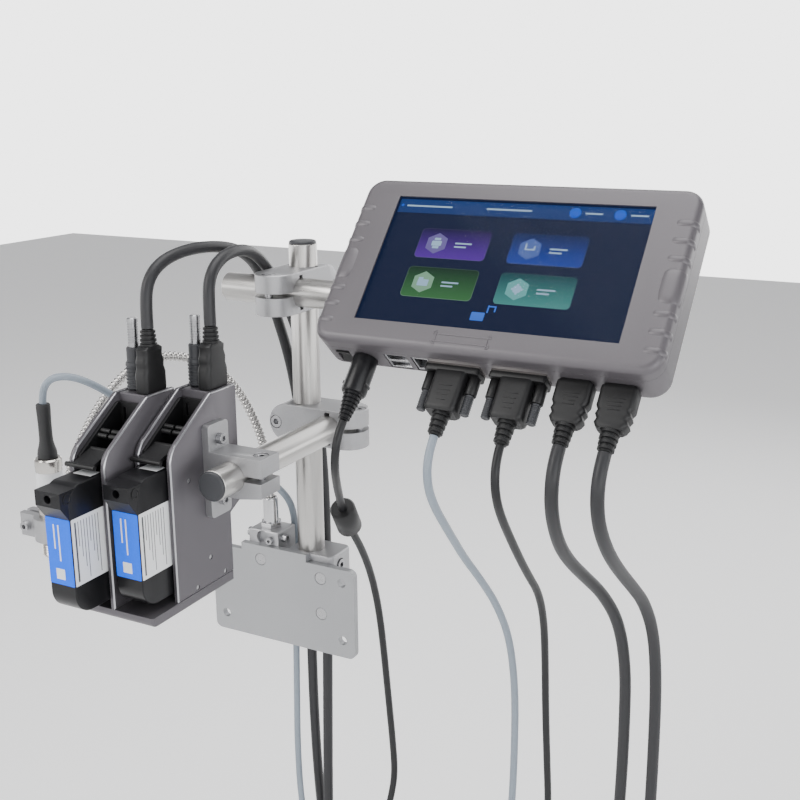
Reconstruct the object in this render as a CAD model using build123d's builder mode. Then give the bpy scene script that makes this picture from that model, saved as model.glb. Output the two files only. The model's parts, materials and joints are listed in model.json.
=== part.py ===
"""A two-head thermal inkjet date coder on a round post, with its touch controller and photocell.

Millimetres, +Z up. X runs along the conveyor, +Y points away from the operator. The origin is the
centre of the bolt pattern in the front face of the mounting plate, which lies on the conveyor's side.
"""

import math
import os

from build123d import *

# ---- driving dimensions -------------------------------------------------------------------------
tube_d = 19.0               # post and both rods
tube_wall = 2.0
bore_gap = 0.05             # radial clearance of a tube in its clamp

mount_w, mount_h, mount_t = 120.0, 70.0, 5.0
mount_hole_d, mount_hole_dx, mount_hole_dz = 6.6, 100.0, 44.0
mount_low = 35.0            # from the origin down to the plate's lower edge

post_x = 16.0
post_behind = 1.5           # from the mounting plate to the post
post_y = mount_t + tube_d / 2 + post_behind
post_low, post_top = -8.0, 255.0
foot_wall = 4.0
foot_w, foot_h = tube_d + 19.0, 50.0
foot_depth = tube_d + 2 * foot_wall
foot_top = 37.0

clamp_wall = 4.0            # around the bores of both cross clamps
clamp_jaw = 13.5            # from a bore to the clamp's end
tube_gap = 5.0              # between the post and a rod that crosses it
clamp_size = tube_d + 2 * clamp_wall
clamp_end = tube_d / 2 + clamp_jaw
clamp_pitch = tube_d + tube_gap
clamp_slit = 3.0

upper_z = 226.5             # height of the rod that carries the controller
lower_z = 132.0             # height of the rod that carries the heads
upper_rod_left, upper_rod_right = -28.0, 210.0
lower_rod_front, lower_rod_rear = -125.5, 44.0

# controller, in the tilted frame whose axis is the upper rod
panel_x = 183.5             # middle of the housing along the rod
panel_tilt = 42.0           # how far the screen leans back from upright
panel_w = 206.0
panel_low, panel_high = -56.0, 59.0
rod_clearance = 6.0         # from the upper rod to the housing's back
panel_back = tube_d / 2 + rod_clearance
panel_split = panel_back + 21.5
panel_front = panel_split + 10.0
panel_wall = 2.5
panel_corner = 11.0
screen_w, screen_h, screen_mid = 157.0, 86.5, 2.5
port_w = panel_back + 11.5  # height of the row of ports over the rod's axis
switch_x, power_x, usb_x, network_x = -87.0, -73.5, -52.0, -36.5
dsub_xs = (-15.5, 23.5)
hdmi_xs = (55.5, 80.0)

# print heads
head_right = 20.0           # outer face of the right head's right plate
head_stagger = 24.0         # the left head stands this much nearer the operator
plate_t = 3.4
head_gap = 1.2              # between the two heads
head_front, head_rear, head_rear_low = -138.0, -71.4, -82.0
head_top, head_low = 179.0, 58.5
slope_top_y, slope_low_z = -97.0, 152.0
base_t = 6.5
cart_w, cart_front, cart_rear = 19.0, -164.0, -96.0
cart_gap = 0.6              # on each side of a cartridge
cart_low, cart_top = 64.0, 142.0

# photocell on its gooseneck
block_x, block_w, block_d, block_low, block_top = -17.6, 25.0, 22.0, 21.0, 47.2
cell_x, cell_y, cell_d = -116.0, -99.0, 18.0
cell_low, cell_high = 50.0, 119.0
ring_low, ring_high = 62.0, 78.0
hose_d = 7.0

cord_hdmi, cord_thin = 7.5, 5.0

tilt = math.radians(panel_tilt)
up_panel = Vector(0, math.sin(tilt), math.cos(tilt))
off_panel = Vector(0, -math.cos(tilt), math.sin(tilt))
upper_y = post_y - clamp_pitch
lower_x = post_x + clamp_pitch
panel = Plane(origin=(panel_x, upper_y, upper_z), x_dir=(1, 0, 0), z_dir=off_panel)

os.makedirs("parts", exist_ok=True)


def save(piece, name):
    """Label a finished piece and write it as its own STEP file."""
    piece.part.label = name
    export_step(piece.part, f"parts/{name}.step")


def edge_plane(y):
    """The plane across the controller at height y, looking down and out of its underside."""
    start = panel.from_local_coords((0, y, 0))
    return Plane(origin=start, x_dir=(1, 0, 0), z_dir=up_panel * -1)


def at_spot(plane, x, y, out=0.0):
    """The same plane with its origin moved to a local point."""
    return Plane(origin=plane.from_local_coords((x, y, out)), x_dir=plane.x_dir, z_dir=plane.z_dir)


def level(x, y, z):
    """A level plane."""
    return Plane(origin=(x, y, z), x_dir=(1, 0, 0), z_dir=(0, 0, 1))


def facing_x(x):
    """A plane across X, whose sketch axes are world Y and Z."""
    return Plane(origin=(x, 0, 0), x_dir=(0, 1, 0), z_dir=(1, 0, 0))


def facing_front(y):
    """A plane that faces the operator, whose sketch axes are world X and Z."""
    return Plane(origin=(0, y, 0), x_dir=(1, 0, 0), z_dir=(0, -1, 0))


def disc(plane, diameter, amount, mode=Mode.ADD):
    """A cylinder that stands on a plane's origin."""
    with BuildSketch(plane) as outline:
        Circle(diameter / 2)
    extrude(outline.sketch, amount=amount, mode=mode)


def slab(plane, x, y, width, height, amount, mode=Mode.ADD, radius=0.0):
    """A block whose rectangle lies on a plane, with its corners rounded if a radius is given."""
    with BuildSketch(plane) as outline:
        with Locations((x, y)):
            if radius:
                RectangleRounded(width, height, radius)
            else:
                Rectangle(width, height)
    extrude(outline.sketch, amount=amount, mode=mode)


def cap_screw(plane, size, length):
    """A socket-head screw: the plane lies under its head, and its shank runs against the normal."""
    disc(plane, size * 1.7, size)
    disc(plane, size, -length)
    with BuildSketch(plane.offset(size)) as key:
        RegularPolygon(size * 0.45, 6)
    extrude(key.sketch, amount=-size * 0.55, mode=Mode.SUBTRACT)


def tube(start, direction, length):
    """A length of the round tube that the post and the rods are cut from."""
    with BuildPart() as made:
        with BuildSketch(Plane(origin=start, z_dir=direction)):
            Circle(tube_d / 2)
            Circle(tube_d / 2 - tube_wall, mode=Mode.SUBTRACT)
        extrude(amount=length)
        chamfer(made.edges().filter_by(GeomType.CIRCLE).group_by(SortBy.LENGTH)[-1], 0.4)
    return made


def tube_cap(end, direction):
    """A plastic cap: a domed disc on the tube's end, with a stem inside the tube."""
    with BuildPart() as made:
        disc(Plane(origin=end, z_dir=direction), tube_d - 0.6, 2.0)
        fillet(made.faces().sort_by(Axis(end, direction))[-1].edges(), 1.4)
        disc(Plane(origin=end, z_dir=direction), tube_d - 2 * tube_wall - 0.1, -9.0)
    return made


def bend_radii(points):
    """One arc for each corner of a route, as large as its two runs allow."""
    radii = []
    for before, here, after in zip(points, points[1:], points[2:]):
        first, second = here - before, after - here
        half_turn = math.radians(first.get_angle(second)) / 2
        radii.append(0.45 * min(first.length, second.length) / math.tan(half_turn))
    return radii


def cord(name, diameter, route):
    """A round tube along a route of straight runs joined by tangent arcs."""
    points = [Vector(*point) for point in route]
    radii = bend_radii(points)
    with BuildPart() as made:
        with BuildLine() as path:
            FilletPolyline(*points, radius=radii)
        with BuildSketch(Plane(origin=points[0], z_dir=points[1] - points[0])):
            Circle(diameter / 2)
        sweep()
    length = sum(edge.length for edge in path.edges())
    full = math.pi * diameter**2 / 4 * length
    print(f"{name}: {length:.0f} mm long, filled {made.part.volume / full:.4f}")
    print("  arc radii, mm:", " ".join(f"{radius:.0f}" for radius in radii))
    return made


def coil(x, y, z, ring, bundle):
    """The outer shape of a round coil that hangs in a plane across Y."""
    with BuildPart() as made:
        with BuildSketch(Plane(origin=(x + ring / 2, y, z), x_dir=(1, 0, 0), z_dir=(0, 0, 1))):
            Circle(bundle / 2)
        revolve(axis=Axis((x, y, z), (0, 1, 0)))
    return made


# ---- base: mounting plate, foot block and post --------------------------------------------------
strip_right = 21.0
strip_top = 37.5
foot_left = post_x - tube_d / 2 - 4.5
foot_right = foot_left + foot_w
foot_screw_x = (foot_right + post_x + tube_d / 2) / 2
foot_screws = ((foot_screw_x, foot_top - 15), (foot_screw_x, foot_top - 42))
plate_screws = foot_screws + ((block_x, block_low + 6),)
plate_top = foot_top - 5
with BuildPart() as mount_plate:
    plate_mid = (plate_top - mount_low) / 2
    slab(facing_front(0), 0, plate_mid, mount_w, plate_top + mount_low, -mount_t, radius=5)
    strip_w = strip_right - block_x + block_w / 2 + 4
    strip_x = strip_right - strip_w / 2
    slab(facing_front(0), strip_x, (strip_top + 20) / 2, strip_w, strip_top - 20, -mount_t)
    with BuildSketch(facing_front(0)):
        with GridLocations(mount_hole_dx, mount_hole_dz, 2, 2):
            Circle(mount_hole_d / 2)
    extrude(amount=-mount_t, mode=Mode.SUBTRACT)
    with BuildSketch(facing_front(0)):
        with Locations(*plate_screws):
            Circle(4.6)
    extrude(amount=-3.0, mode=Mode.SUBTRACT)
    with BuildSketch(facing_front(0)):
        with Locations(*plate_screws):
            Circle(2.55)
    extrude(amount=-mount_t, mode=Mode.SUBTRACT)
save(mount_plate, "mount_plate")

with BuildPart() as foot_block:
    with BuildSketch(level(foot_left + foot_w / 2, mount_t + foot_depth / 2, foot_top - foot_h)):
        Rectangle(foot_w, foot_depth)
    extrude(amount=foot_h)
    fillet(foot_block.edges().filter_by(Axis.Z).group_by(Axis.X)[-1], 5)
    fillet(foot_block.faces().sort_by(Axis.Z)[-1].edges(), 1.2)
    disc(level(post_x, post_y, foot_top - foot_h + 5), tube_d + 2 * bore_gap, foot_h, Mode.SUBTRACT)
    side = Plane(origin=(foot_right, post_y, foot_top - 9), z_dir=(1, 0, 0))
    disc(side, 5.1, -(foot_right - post_x - tube_d / 2), Mode.SUBTRACT)
    disc(side, 9.6, -4.0, Mode.SUBTRACT)
    for x, z in foot_screws:
        disc(Plane(origin=(x, mount_t, z), z_dir=(0, 1, 0)), 5.1, 8.0, Mode.SUBTRACT)
save(foot_block, "foot_block")

with BuildPart() as base_screws:
    grub_seat = foot_right - 4.0
    grub_length = grub_seat - post_x - tube_d / 2 - 0.2
    cap_screw(Plane(origin=(grub_seat, post_y, foot_top - 9), z_dir=(1, 0, 0)), 5, grub_length)
    for x, z in plate_screws:
        seat = at_spot(facing_front(0), x, z, -3.0)
        disc(seat, 8.6, 2.8)
        disc(seat, 5.0, -8.0)
    for direction in (-1, 1):
        seat = Plane(origin=(block_x + direction * block_w / 2, 11.5, 42.0), z_dir=(direction, 0, 0))
        cap_screw(seat, 4, 5.0)
    cap_screw(Plane(origin=(block_x + 6, mount_t, 41.0), z_dir=(0, -1, 0)), 3, 5.0)
save(base_screws, "base_screws")

post = tube((post_x, post_y, post_low), (0, 0, 1), post_top - post_low)
save(post, "post")
post_cap = tube_cap((post_x, post_y, post_top), (0, 0, 1))
save(post_cap, "post_cap")


# ---- cross clamps and rods ----------------------------------------------------------------------
def clamp_planes(centre, long_axis):
    """Level, side and end planes of a cross clamp, from the post's axis along its long axis."""
    along = Vector(*long_axis)
    across = Vector(0, 0, 1).cross(along)
    flat = Plane(origin=centre, x_dir=along, z_dir=(0, 0, 1))
    upright = Plane(origin=centre, x_dir=along, z_dir=across * -1)
    return flat, upright


screw_inset = 5.4           # from the end of a clamp to the axis of its screw


def cross_clamp(centre, long_axis):
    """One casting with an upright bore for the post and a level bore for the rod beside it.

    The rod's end is round in plan and split level, the post's end is round in side view and split
    upright, and each bore has a small relief groove on both of its flanks.
    """
    flat, upright = clamp_planes(centre, long_axis)
    half = clamp_size / 2
    rod_end = clamp_pitch + clamp_end
    with BuildPart() as made:
        with BuildSketch(flat):
            with Locations(((rod_end - half - clamp_end) / 2, 0)):
                Rectangle(rod_end - half + clamp_end, clamp_size)
            with Locations((rod_end - half, 0)):
                Circle(half)
        extrude(amount=half, both=True)
        with BuildSketch(upright):
            with Locations(((rod_end - clamp_end + half) / 2, 0)):
                Rectangle(rod_end + clamp_end - half, clamp_size)
            with Locations((half - clamp_end, 0)):
                Circle(half)
        extrude(amount=half, both=True, mode=Mode.INTERSECT)
        with BuildSketch(flat):
            Circle(tube_d / 2 + bore_gap)
            with Locations((-clamp_end / 2, 0)):
                Rectangle(clamp_end, clamp_slit)
            with Locations((0, tube_d / 2), (0, -tube_d / 2)):
                RegularPolygon(2.8, 4, rotation=45)
        extrude(amount=clamp_size, both=True, mode=Mode.SUBTRACT)
        with BuildSketch(upright):
            with Locations((clamp_pitch, 0)):
                Circle(tube_d / 2 + bore_gap)
            with Locations((clamp_pitch + clamp_end / 2, 0)):
                Rectangle(clamp_end, clamp_slit)
            with Locations((clamp_pitch, tube_d / 2), (clamp_pitch, -tube_d / 2)):
                RegularPolygon(2.8, 4, rotation=45)
        extrude(amount=clamp_size, both=True, mode=Mode.SUBTRACT)
        for plane in clamp_screw_planes(centre, long_axis):
            disc(plane.offset(-clamp_size), 5.1, 2 * clamp_size, Mode.SUBTRACT)
            disc(plane, 9.4, clamp_size, Mode.SUBTRACT)
        outer = made.edges().filter_by(GeomType.LINE).group_by(SortBy.LENGTH)[-1]
        chamfer(outer, 0.6)
    return made


def clamp_screw_planes(centre, long_axis):
    """Where the two screw heads of a cross clamp seat: one on its top, one on its near flank."""
    flat, upright = clamp_planes(centre, long_axis)
    seat = clamp_size / 2 - 5.2
    top = at_spot(flat, clamp_pitch + clamp_end - screw_inset, 0, seat)
    flank = at_spot(upright, screw_inset - clamp_end, 0, seat)
    return top, flank


def clamp_screws(centre, long_axis):
    with BuildPart() as made:
        for plane in clamp_screw_planes(centre, long_axis):
            cap_screw(plane, 5, clamp_size - 8)
    return made


upper_at, upper_way = (post_x, post_y, upper_z), (0, -1, 0)
lower_at, lower_way = (post_x, post_y, lower_z), (1, 0, 0)
upper_clamp = cross_clamp(upper_at, upper_way)
save(upper_clamp, "upper_clamp")
upper_clamp_screws = clamp_screws(upper_at, upper_way)
save(upper_clamp_screws, "upper_clamp_screws")
lower_clamp = cross_clamp(lower_at, lower_way)
save(lower_clamp, "lower_clamp")
lower_clamp_screws = clamp_screws(lower_at, lower_way)
save(lower_clamp_screws, "lower_clamp_screws")

upper_rod = tube((upper_rod_left, upper_y, upper_z), (1, 0, 0), upper_rod_right - upper_rod_left)
save(upper_rod, "upper_rod")
lower_rod = tube((lower_x, lower_rod_front, lower_z), (0, 1, 0), lower_rod_rear - lower_rod_front)
save(lower_rod, "lower_rod")
lower_rod_cap = tube_cap((lower_x, lower_rod_front, lower_z), (0, -1, 0))
save(lower_rod_cap, "lower_rod_cap")

# ---- print heads --------------------------------------------------------------------------------
inner_w = cart_w + 2 * cart_gap
head_w = inner_w + 2 * plate_t
head_pitch = head_w + head_gap
right_mid = head_right - head_w / 2
heads = {"right": (right_mid, 0.0), "left": (right_mid - head_pitch, -head_stagger)}
hdmi_off, barrel_off = 6.0, -5.6       # across the head, from its middle
socket_y = -84.0                       # both sockets on a head's cover
latch_y, latch_z = -125.0, 151.5       # the latch's pivot
latch_bar_y, latch_bar_z = -140.8, 146.6
wall_rear, wall_front = -83.0, -93.0   # the cradle's back wall
cradle_top = 156.7
cheek_t = 2.2
cover_front = -94.7

bracket_t, bracket_depth, bracket_h = 4.8, 20.0, 59.0
bracket_y = -97.5
arm_wall = 3.7
arm_end, arm_half = lower_x + tube_d / 2 + 12.0, tube_d / 2 + arm_wall
arm_screw_x = lower_x + tube_d / 2 + 5.8
plate_screw_zs = (lower_z + 19.5, lower_z - 19.5)
base_screws_yz = ((-91.0, head_low + 2.8), (-119.0, head_low + 2.8))
liner_screws_yz = ((-105.0, 76.0), (-122.0, 131.0))


def side_plate(x, shift, holes):
    """A head's side plate: a milled blank with a long slope to the front and a stepped rear edge."""
    front, rear, rear_low = head_front + shift, head_rear + shift, head_rear_low + shift
    with BuildPart() as made:
        with BuildSketch(facing_x(x)):
            with BuildLine():
                Polyline(
                    (front, head_low),
                    (front, slope_low_z),
                    (slope_top_y + shift, head_top),
                    (rear, head_top),
                    (rear, 103.0),
                    (rear_low, 97.5),
                    (rear_low, head_low),
                    close=True,
                )
            make_face()
        extrude(amount=plate_t)
        across = made.edges().filter_by(Axis.X)
        fillet(across.sort_by_distance((x, front, slope_low_z))[:1], 14)
        across = made.edges().filter_by(Axis.X)
        fillet(across.sort_by_distance((x, slope_top_y + shift, head_top))[:1], 3)
        chamfer(made.faces().filter_by(Axis.X).edges(), 0.7)
        for y, z, hole_d in holes:
            disc(at_spot(facing_x(x), y, z), hole_d, plate_t, Mode.SUBTRACT)
    return made


for side_name, (mid, shift) in heads.items():
    screw_holes = [(y + shift, z, 3.1) for y, z in base_screws_yz + liner_screws_yz]
    bracket_holes = [(bracket_y, z, 4.1) for z in plate_screw_zs]
    right_holes = screw_holes + bracket_holes if side_name == "right" else screw_holes
    right_plate = side_plate(mid + head_w / 2 - plate_t, shift, right_holes)
    save(right_plate, f"{side_name}_head_right_plate")
    left_plate = side_plate(mid - head_w / 2, shift, screw_holes)
    save(left_plate, f"{side_name}_head_left_plate")

base_left = head_right - head_w - head_pitch
base_front = head_front - head_stagger
base_mid = (base_left + head_right) / 2
with BuildPart() as head_base:
    base_at = level(base_mid, (base_front + head_rear_low) / 2, head_low - base_t)
    slab(base_at, 0, 0, head_right - base_left, head_rear_low - base_front, base_t)
    fillet(head_base.edges().filter_by(Axis.X).group_by(Axis.Y)[0].sort_by(Axis.Z)[:1], 4.5)
    fillet(head_base.edges().filter_by(Axis.Z), 1.5)
    for mid, shift in heads.values():
        slab(level(mid, -112 + shift, head_low), 0, 0, 14.0, 22.0, -base_t, Mode.SUBTRACT)
save(head_base, "head_base_plate")


def cradle(mid, shift):
    """The black moulding between a head's plates.

    It has a back wall, two low rails that the cartridge slides on, cheeks over the cartridge that
    hold the latch's pivot, a slotted wall at the top and a ribbed bar.
    """
    width = inner_w - 0.2
    inside = width - 2 * cheek_t
    with BuildPart() as made:
        depth = wall_rear - wall_front
        wall_mid = level(mid, (wall_rear + wall_front) / 2 + shift, head_low)
        slab(wall_mid, 0, 0, width, depth, cradle_top - head_low)
        for x in (-width / 2 + 1.7, width / 2 - 1.7):
            rail_mid = level(mid + x, (head_front + 4 + wall_front) / 2 + shift, head_low)
            slab(rail_mid, 0, 0, 3.4, wall_front - head_front - 4, cart_low - 0.3 - head_low)
        for x in (mid - width / 2, mid + width / 2 - cheek_t):
            with BuildSketch(facing_x(x)) as cheek:
                with BuildLine():
                    Polyline(
                        (-134 + shift, 144),
                        (-134 + shift, 150),
                        (-99 + shift, 173.5),
                        (-95.2 + shift, 173.5),
                        (-95.2 + shift, cradle_top),
                        (wall_front + 1 + shift, cradle_top),
                        (wall_front + 1 + shift, 144),
                        close=True,
                    )
                make_face()
            extrude(cheek.sketch, amount=cheek_t)
        for y, z in ((-117.5, 158.0), (-114.6, 160.2)):
            for way in (-1, 1):
                rib = Plane(origin=(mid, y + shift, z), z_dir=(way, 0, 0))
                disc(rib.offset(0.8), 3.0, width / 2 - 1.8)
        slab(level(mid, -100 + shift, 144), 0, 0, inside + 1, 16.0, 2.0)
        top_wall = facing_front(-95.2 + shift)
        slab(top_wall, mid, 165.1, inside + 1, 16.8, 1.8)
        slab(top_wall, mid - 4.5, 166.5, 2.2, 8.0, 1.8, Mode.SUBTRACT)
        slab(facing_front(wall_front + shift), mid, 88.0, 11.0, 14.0, 1.2)
        pivot = Plane(origin=(mid, latch_y + shift, latch_z), z_dir=(1, 0, 0))
        disc(pivot.offset(-width / 2), 2.1, width, Mode.SUBTRACT)
    return made


def latch(mid, shift):
    """The flap that holds a cartridge down: two pivot pins, a thin sloping plate and a round bar."""
    flap_w = inner_w - 0.2 - 2 * cheek_t - 0.6
    pins = inner_w - 0.8
    with BuildPart() as made:
        with BuildSketch(facing_x(mid)):
            with Locations((latch_y + shift, latch_z)):
                Circle(1.9)
            with Locations((latch_bar_y + shift, latch_bar_z)):
                Circle(1.5)
            with BuildLine():
                Polyline(
                    (latch_y + shift, latch_z + 1.6),
                    (latch_y + shift, latch_z - 0.6),
                    (latch_bar_y + shift, latch_bar_z - 1.0),
                    (latch_bar_y + shift, latch_bar_z + 1.1),
                    close=True,
                )
            make_face()
        extrude(amount=flap_w / 2, both=True)
        bar_left = Plane(origin=(mid - head_w / 2 + 1, latch_bar_y + shift, latch_bar_z), z_dir=(1, 0, 0))
        disc(bar_left, 3.0, inner_w + 1.4)
        disc(Plane(origin=(mid - pins / 2, latch_y + shift, latch_z), z_dir=(1, 0, 0)), 2.0, pins)
    return made


def cover(mid, shift):
    """The grey part that closes a head's top and back, and carries its two sockets."""
    width = inner_w - 0.2
    rear = head_rear - 0.5
    with BuildPart() as made:
        top_mid = level(mid, (cover_front + rear) / 2 + shift, cradle_top + 0.4)
        slab(top_mid, 0, 0, width, rear - cover_front, head_top - 0.4 - cradle_top - 0.4)
        back_mid = level(mid, rear - 1.25 + shift, 104.0)
        slab(back_mid, 0, 0, width, 2.5, 60)
        chamfer(made.faces().sort_by(Axis.Z)[-1].edges(), 0.5)
        disc(level(mid + barrel_off, socket_y + shift, head_top - 6), 8.0, 10, Mode.SUBTRACT)
        slab(level(mid + hdmi_off, socket_y + shift, head_top - 8), 0, 0, 5.0, 14.4, 12, Mode.SUBTRACT)
    return made


def cartridge(mid, shift):
    """A half-inch ink cartridge: body with a rounded shoulder and sole, nose with an eye, snout."""
    front, rear = cart_front + shift, cart_rear + shift
    with BuildPart() as made:
        with BuildSketch(facing_x(mid)):
            with BuildLine():
                Polyline(
                    (front, cart_low),
                    (front, cart_top),
                    (rear, cart_top),
                    (rear, cart_low),
                    close=True,
                )
            make_face()
        extrude(amount=cart_w / 2, both=True)
        across = made.edges().filter_by(Axis.X)
        fillet(across.sort_by_distance((mid, front, cart_top))[:1], 11)
        across = made.edges().filter_by(Axis.X)
        fillet(across.sort_by_distance((mid, front, cart_low))[:1], 13)
        chamfer(made.faces().filter_by(Axis.X).edges(), 0.5)
        with BuildSketch(facing_x(mid)) as nose:
            with BuildLine():
                Polyline(
                    (front + 9, cart_top - 11),
                    (front, cart_top - 19),
                    (front - 6, cart_top - 10.5),
                    (front - 6, cart_top - 1.5),
                    (front + 9, cart_top - 1.5),
                    close=True,
                )
            make_face()
        extrude(nose.sketch, amount=cart_w / 2 - 0.2, both=True)
        disc(Plane(origin=(mid, front - 6, cart_top - 6), z_dir=(0, 1, 0)), 5.0, 7.0, Mode.SUBTRACT)
        slab(level(mid, -112 + shift, cart_low + 1), 0, 0, 12.0, 20.0, head_low + 0.7 - cart_low - 1)
    return made


for side_name, (mid, shift) in heads.items():
    head_cradle = cradle(mid, shift)
    save(head_cradle, f"{side_name}_head_cradle")
    head_cover = cover(mid, shift)
    save(head_cover, f"{side_name}_head_cover")
    head_latch = latch(mid, shift)
    save(head_latch, f"{side_name}_latch")
    head_cartridge = cartridge(mid, shift)
    save(head_cartridge, f"{side_name}_cartridge")

with BuildPart() as head_boards:
    for mid, shift in heads.values():
        board_mid = level(mid, wall_rear + 1.4 + shift, 106.0)
        slab(board_mid, 0, 0, inner_w - 1.0, 1.6, cradle_top - 107.0)
        slab(level(mid, wall_rear + 3.6 + shift, 140.0), 0, 0, 12.0, 3.0, 6.0)
save(head_boards, "head_boards")

barrel_top, tip_top = 205.0, 223.0
with BuildPart() as head_connectors:
    for mid, shift in heads.values():
        x, y = mid + barrel_off, socket_y + shift
        disc(level(x, y, head_top - 0.4), 8.6, 1.0)
        disc(level(x, y, head_top + 0.2), 11.4, 16.8)
        disc(level(x, y, head_top + 16.0), 9.4, barrel_top - head_top - 16.0)
        disc(level(x, y, barrel_top), 6.6, tip_top - barrel_top)
        disc(level(x, y, head_top - 0.4), 7.9, -5.0)
save(head_connectors, "head_connectors")

plug_top, relief_top = 207.0, 217.0
with BuildPart() as head_hdmi_plugs:
    for mid, shift in heads.values():
        x, y = mid + hdmi_off, socket_y + shift
        slab(level(x, y, head_top), 0, 0, 9.8, 20.0, 19.0, radius=2.5)
        slab(level(x, y, head_top + 19.0), 0, 0, 8.6, 16.0, plug_top - head_top - 19.0, radius=2.5)
        disc(level(x, y, plug_top), 8.6, relief_top - plug_top)
        slab(level(x, y, head_top), 0, 0, 4.5, 13.9, -7.0)
save(head_hdmi_plugs, "head_hdmi_plugs")

with BuildPart() as head_bracket:
    slab(facing_x(head_right), bracket_y, lower_z, bracket_depth, bracket_h, bracket_t, radius=3)
    with BuildSketch(facing_front(bracket_y)):
        with BuildLine():
            Polyline(
                (head_right + 1, lower_z - arm_half),
                (head_right + 1, lower_z + arm_half),
                (arm_end, lower_z + arm_half),
                (arm_end, lower_z - arm_half + 2.4),
                (lower_x + 6, lower_z - arm_half),
                close=True,
            )
        make_face()
    extrude(amount=bracket_depth / 2, both=True)
    bore_plane = Plane(origin=(lower_x, bracket_y, lower_z), x_dir=(1, 0, 0), z_dir=(0, -1, 0))
    disc(bore_plane.offset(-bracket_depth), tube_d + 2 * bore_gap, 2 * bracket_depth, Mode.SUBTRACT)
    slab(bore_plane.offset(-bracket_depth), 15.0, 0, 30.0, 3.6, 2 * bracket_depth, Mode.SUBTRACT)
    arm_seat = lower_z + arm_half - 5.2
    disc(level(arm_screw_x, bracket_y, lower_z - 30), 5.1, 60, Mode.SUBTRACT)
    disc(level(arm_screw_x, bracket_y, arm_seat), 9.6, 20, Mode.SUBTRACT)
    for z in plate_screw_zs:
        disc(Plane(origin=(head_right, bracket_y, z), z_dir=(1, 0, 0)), 4.1, 10, Mode.SUBTRACT)
save(head_bracket, "head_bracket")

with BuildPart() as head_screws:
    cap_screw(level(arm_screw_x, bracket_y, arm_seat), 5, 2 * arm_half - 8)
    for z in plate_screw_zs:
        seat = Plane(origin=(head_right + bracket_t, bracket_y, z), z_dir=(1, 0, 0))
        cap_screw(seat, 4, bracket_t + plate_t)
    for mid, shift in heads.values():
        outer_x = mid + head_w / 2 - plate_t
        for y, z in base_screws_yz + liner_screws_yz:
            disc(at_spot(facing_x(outer_x), y + shift, z), 3.0, plate_t - 0.4)
save(head_screws, "head_screws")

# ---- controller ---------------------------------------------------------------------------------
panel_mid = (panel_low + panel_high) / 2
panel_h = panel_high - panel_low
inside_w, inside_h = panel_w - 2 * panel_wall, panel_h - 2 * panel_wall
inside_corner = panel_corner - panel_wall
dsub_w, dsub_h = 19.0, 10.8
hdmi_w, hdmi_h = 15.8, 6.8
bracket_mid = -3.5
bracket_pad_w, bracket_pad_h, bracket_pad_t = 60.0, 46.0, 3.5
bracket_screws = [(bracket_mid + x, y) for x in (-24, 24) for y in (-16, 16)]

with BuildPart() as controller_back:
    back_depth = panel_split - panel_back
    slab(panel.offset(panel_back), 0, panel_mid, panel_w, panel_h, back_depth, radius=panel_corner)
    fillet(controller_back.faces().sort_by(Axis(panel.origin, off_panel))[0].edges(), 5)
    floor_plane = panel.offset(panel_back + panel_wall)
    slab(floor_plane, 0, panel_mid, inside_w, inside_h, 60, Mode.SUBTRACT, radius=inside_corner)
    under = edge_plane(panel_low + 8)
    slab(under, switch_x, port_w, 9.0, 13.6, 20, Mode.SUBTRACT)
    disc(at_spot(under, power_x, port_w), 13.4, 20, Mode.SUBTRACT)
    slab(under, usb_x, port_w, 14.6, 15.4, 20, Mode.SUBTRACT)
    slab(under, network_x, port_w, 10.6, 15.4, 20, Mode.SUBTRACT)
    for x in dsub_xs:
        slab(under, x, port_w, dsub_w, dsub_h, 20, Mode.SUBTRACT)
    for x in hdmi_xs:
        slab(under, x, port_w, hdmi_w, hdmi_h, 20, Mode.SUBTRACT)
    for x, y in bracket_screws:
        disc(at_spot(panel, x, y, panel_back), 4.1, 10, Mode.SUBTRACT)
save(controller_back, "controller_back")

with BuildPart() as controller_front:
    split_plane = panel.offset(panel_split)
    front_depth = panel_front - panel_split
    slab(split_plane, 0, panel_mid, panel_w, panel_h, front_depth, radius=panel_corner)
    fillet(controller_front.faces().sort_by(Axis(panel.origin, off_panel))[-1].edges(), 4.5)
    hollow = front_depth - 1.2
    slab(split_plane, 0, panel_mid, inside_w, inside_h, hollow, Mode.SUBTRACT, radius=inside_corner)
    slab(split_plane, 0, screen_mid, screen_w, screen_h, 60, Mode.SUBTRACT)
save(controller_front, "controller_front")

glass_back = panel_front - 2.6
with BuildPart() as screen_glass:
    slab(panel.offset(glass_back), 0, screen_mid, screen_w + 6, screen_h + 5, 1.1, radius=1)
save(screen_glass, "screen_glass")

with BuildPart() as display_panel:
    slab(panel.offset(glass_back - 5.4), 0, screen_mid, screen_w + 3, screen_h + 3, 5.2)
save(display_panel, "display_panel")

board_w = panel_back + panel_wall + 1.5
with BuildPart() as control_board:
    slab(panel.offset(board_w), 5, 6, 170, 86, 1.6)
    slab(panel.offset(board_w + 1.6), 10, 18, 30, 30, 3)
    slab(panel.offset(board_w + 1.6), -45, 20, 18, 26, 6)
save(control_board, "control_board")

socket_low = panel_low + 0.6
mouth = edge_plane(socket_low)
with BuildPart() as dsub_sockets:
    for x in dsub_xs:
        slab(mouth, x, port_w, dsub_w - 0.6, dsub_h - 0.6, -12, radius=2)
        slab(mouth, x, port_w, dsub_w - 2.4, dsub_h - 2.4, -6, Mode.SUBTRACT, radius=2)
save(dsub_sockets, "dsub_sockets")

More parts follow.
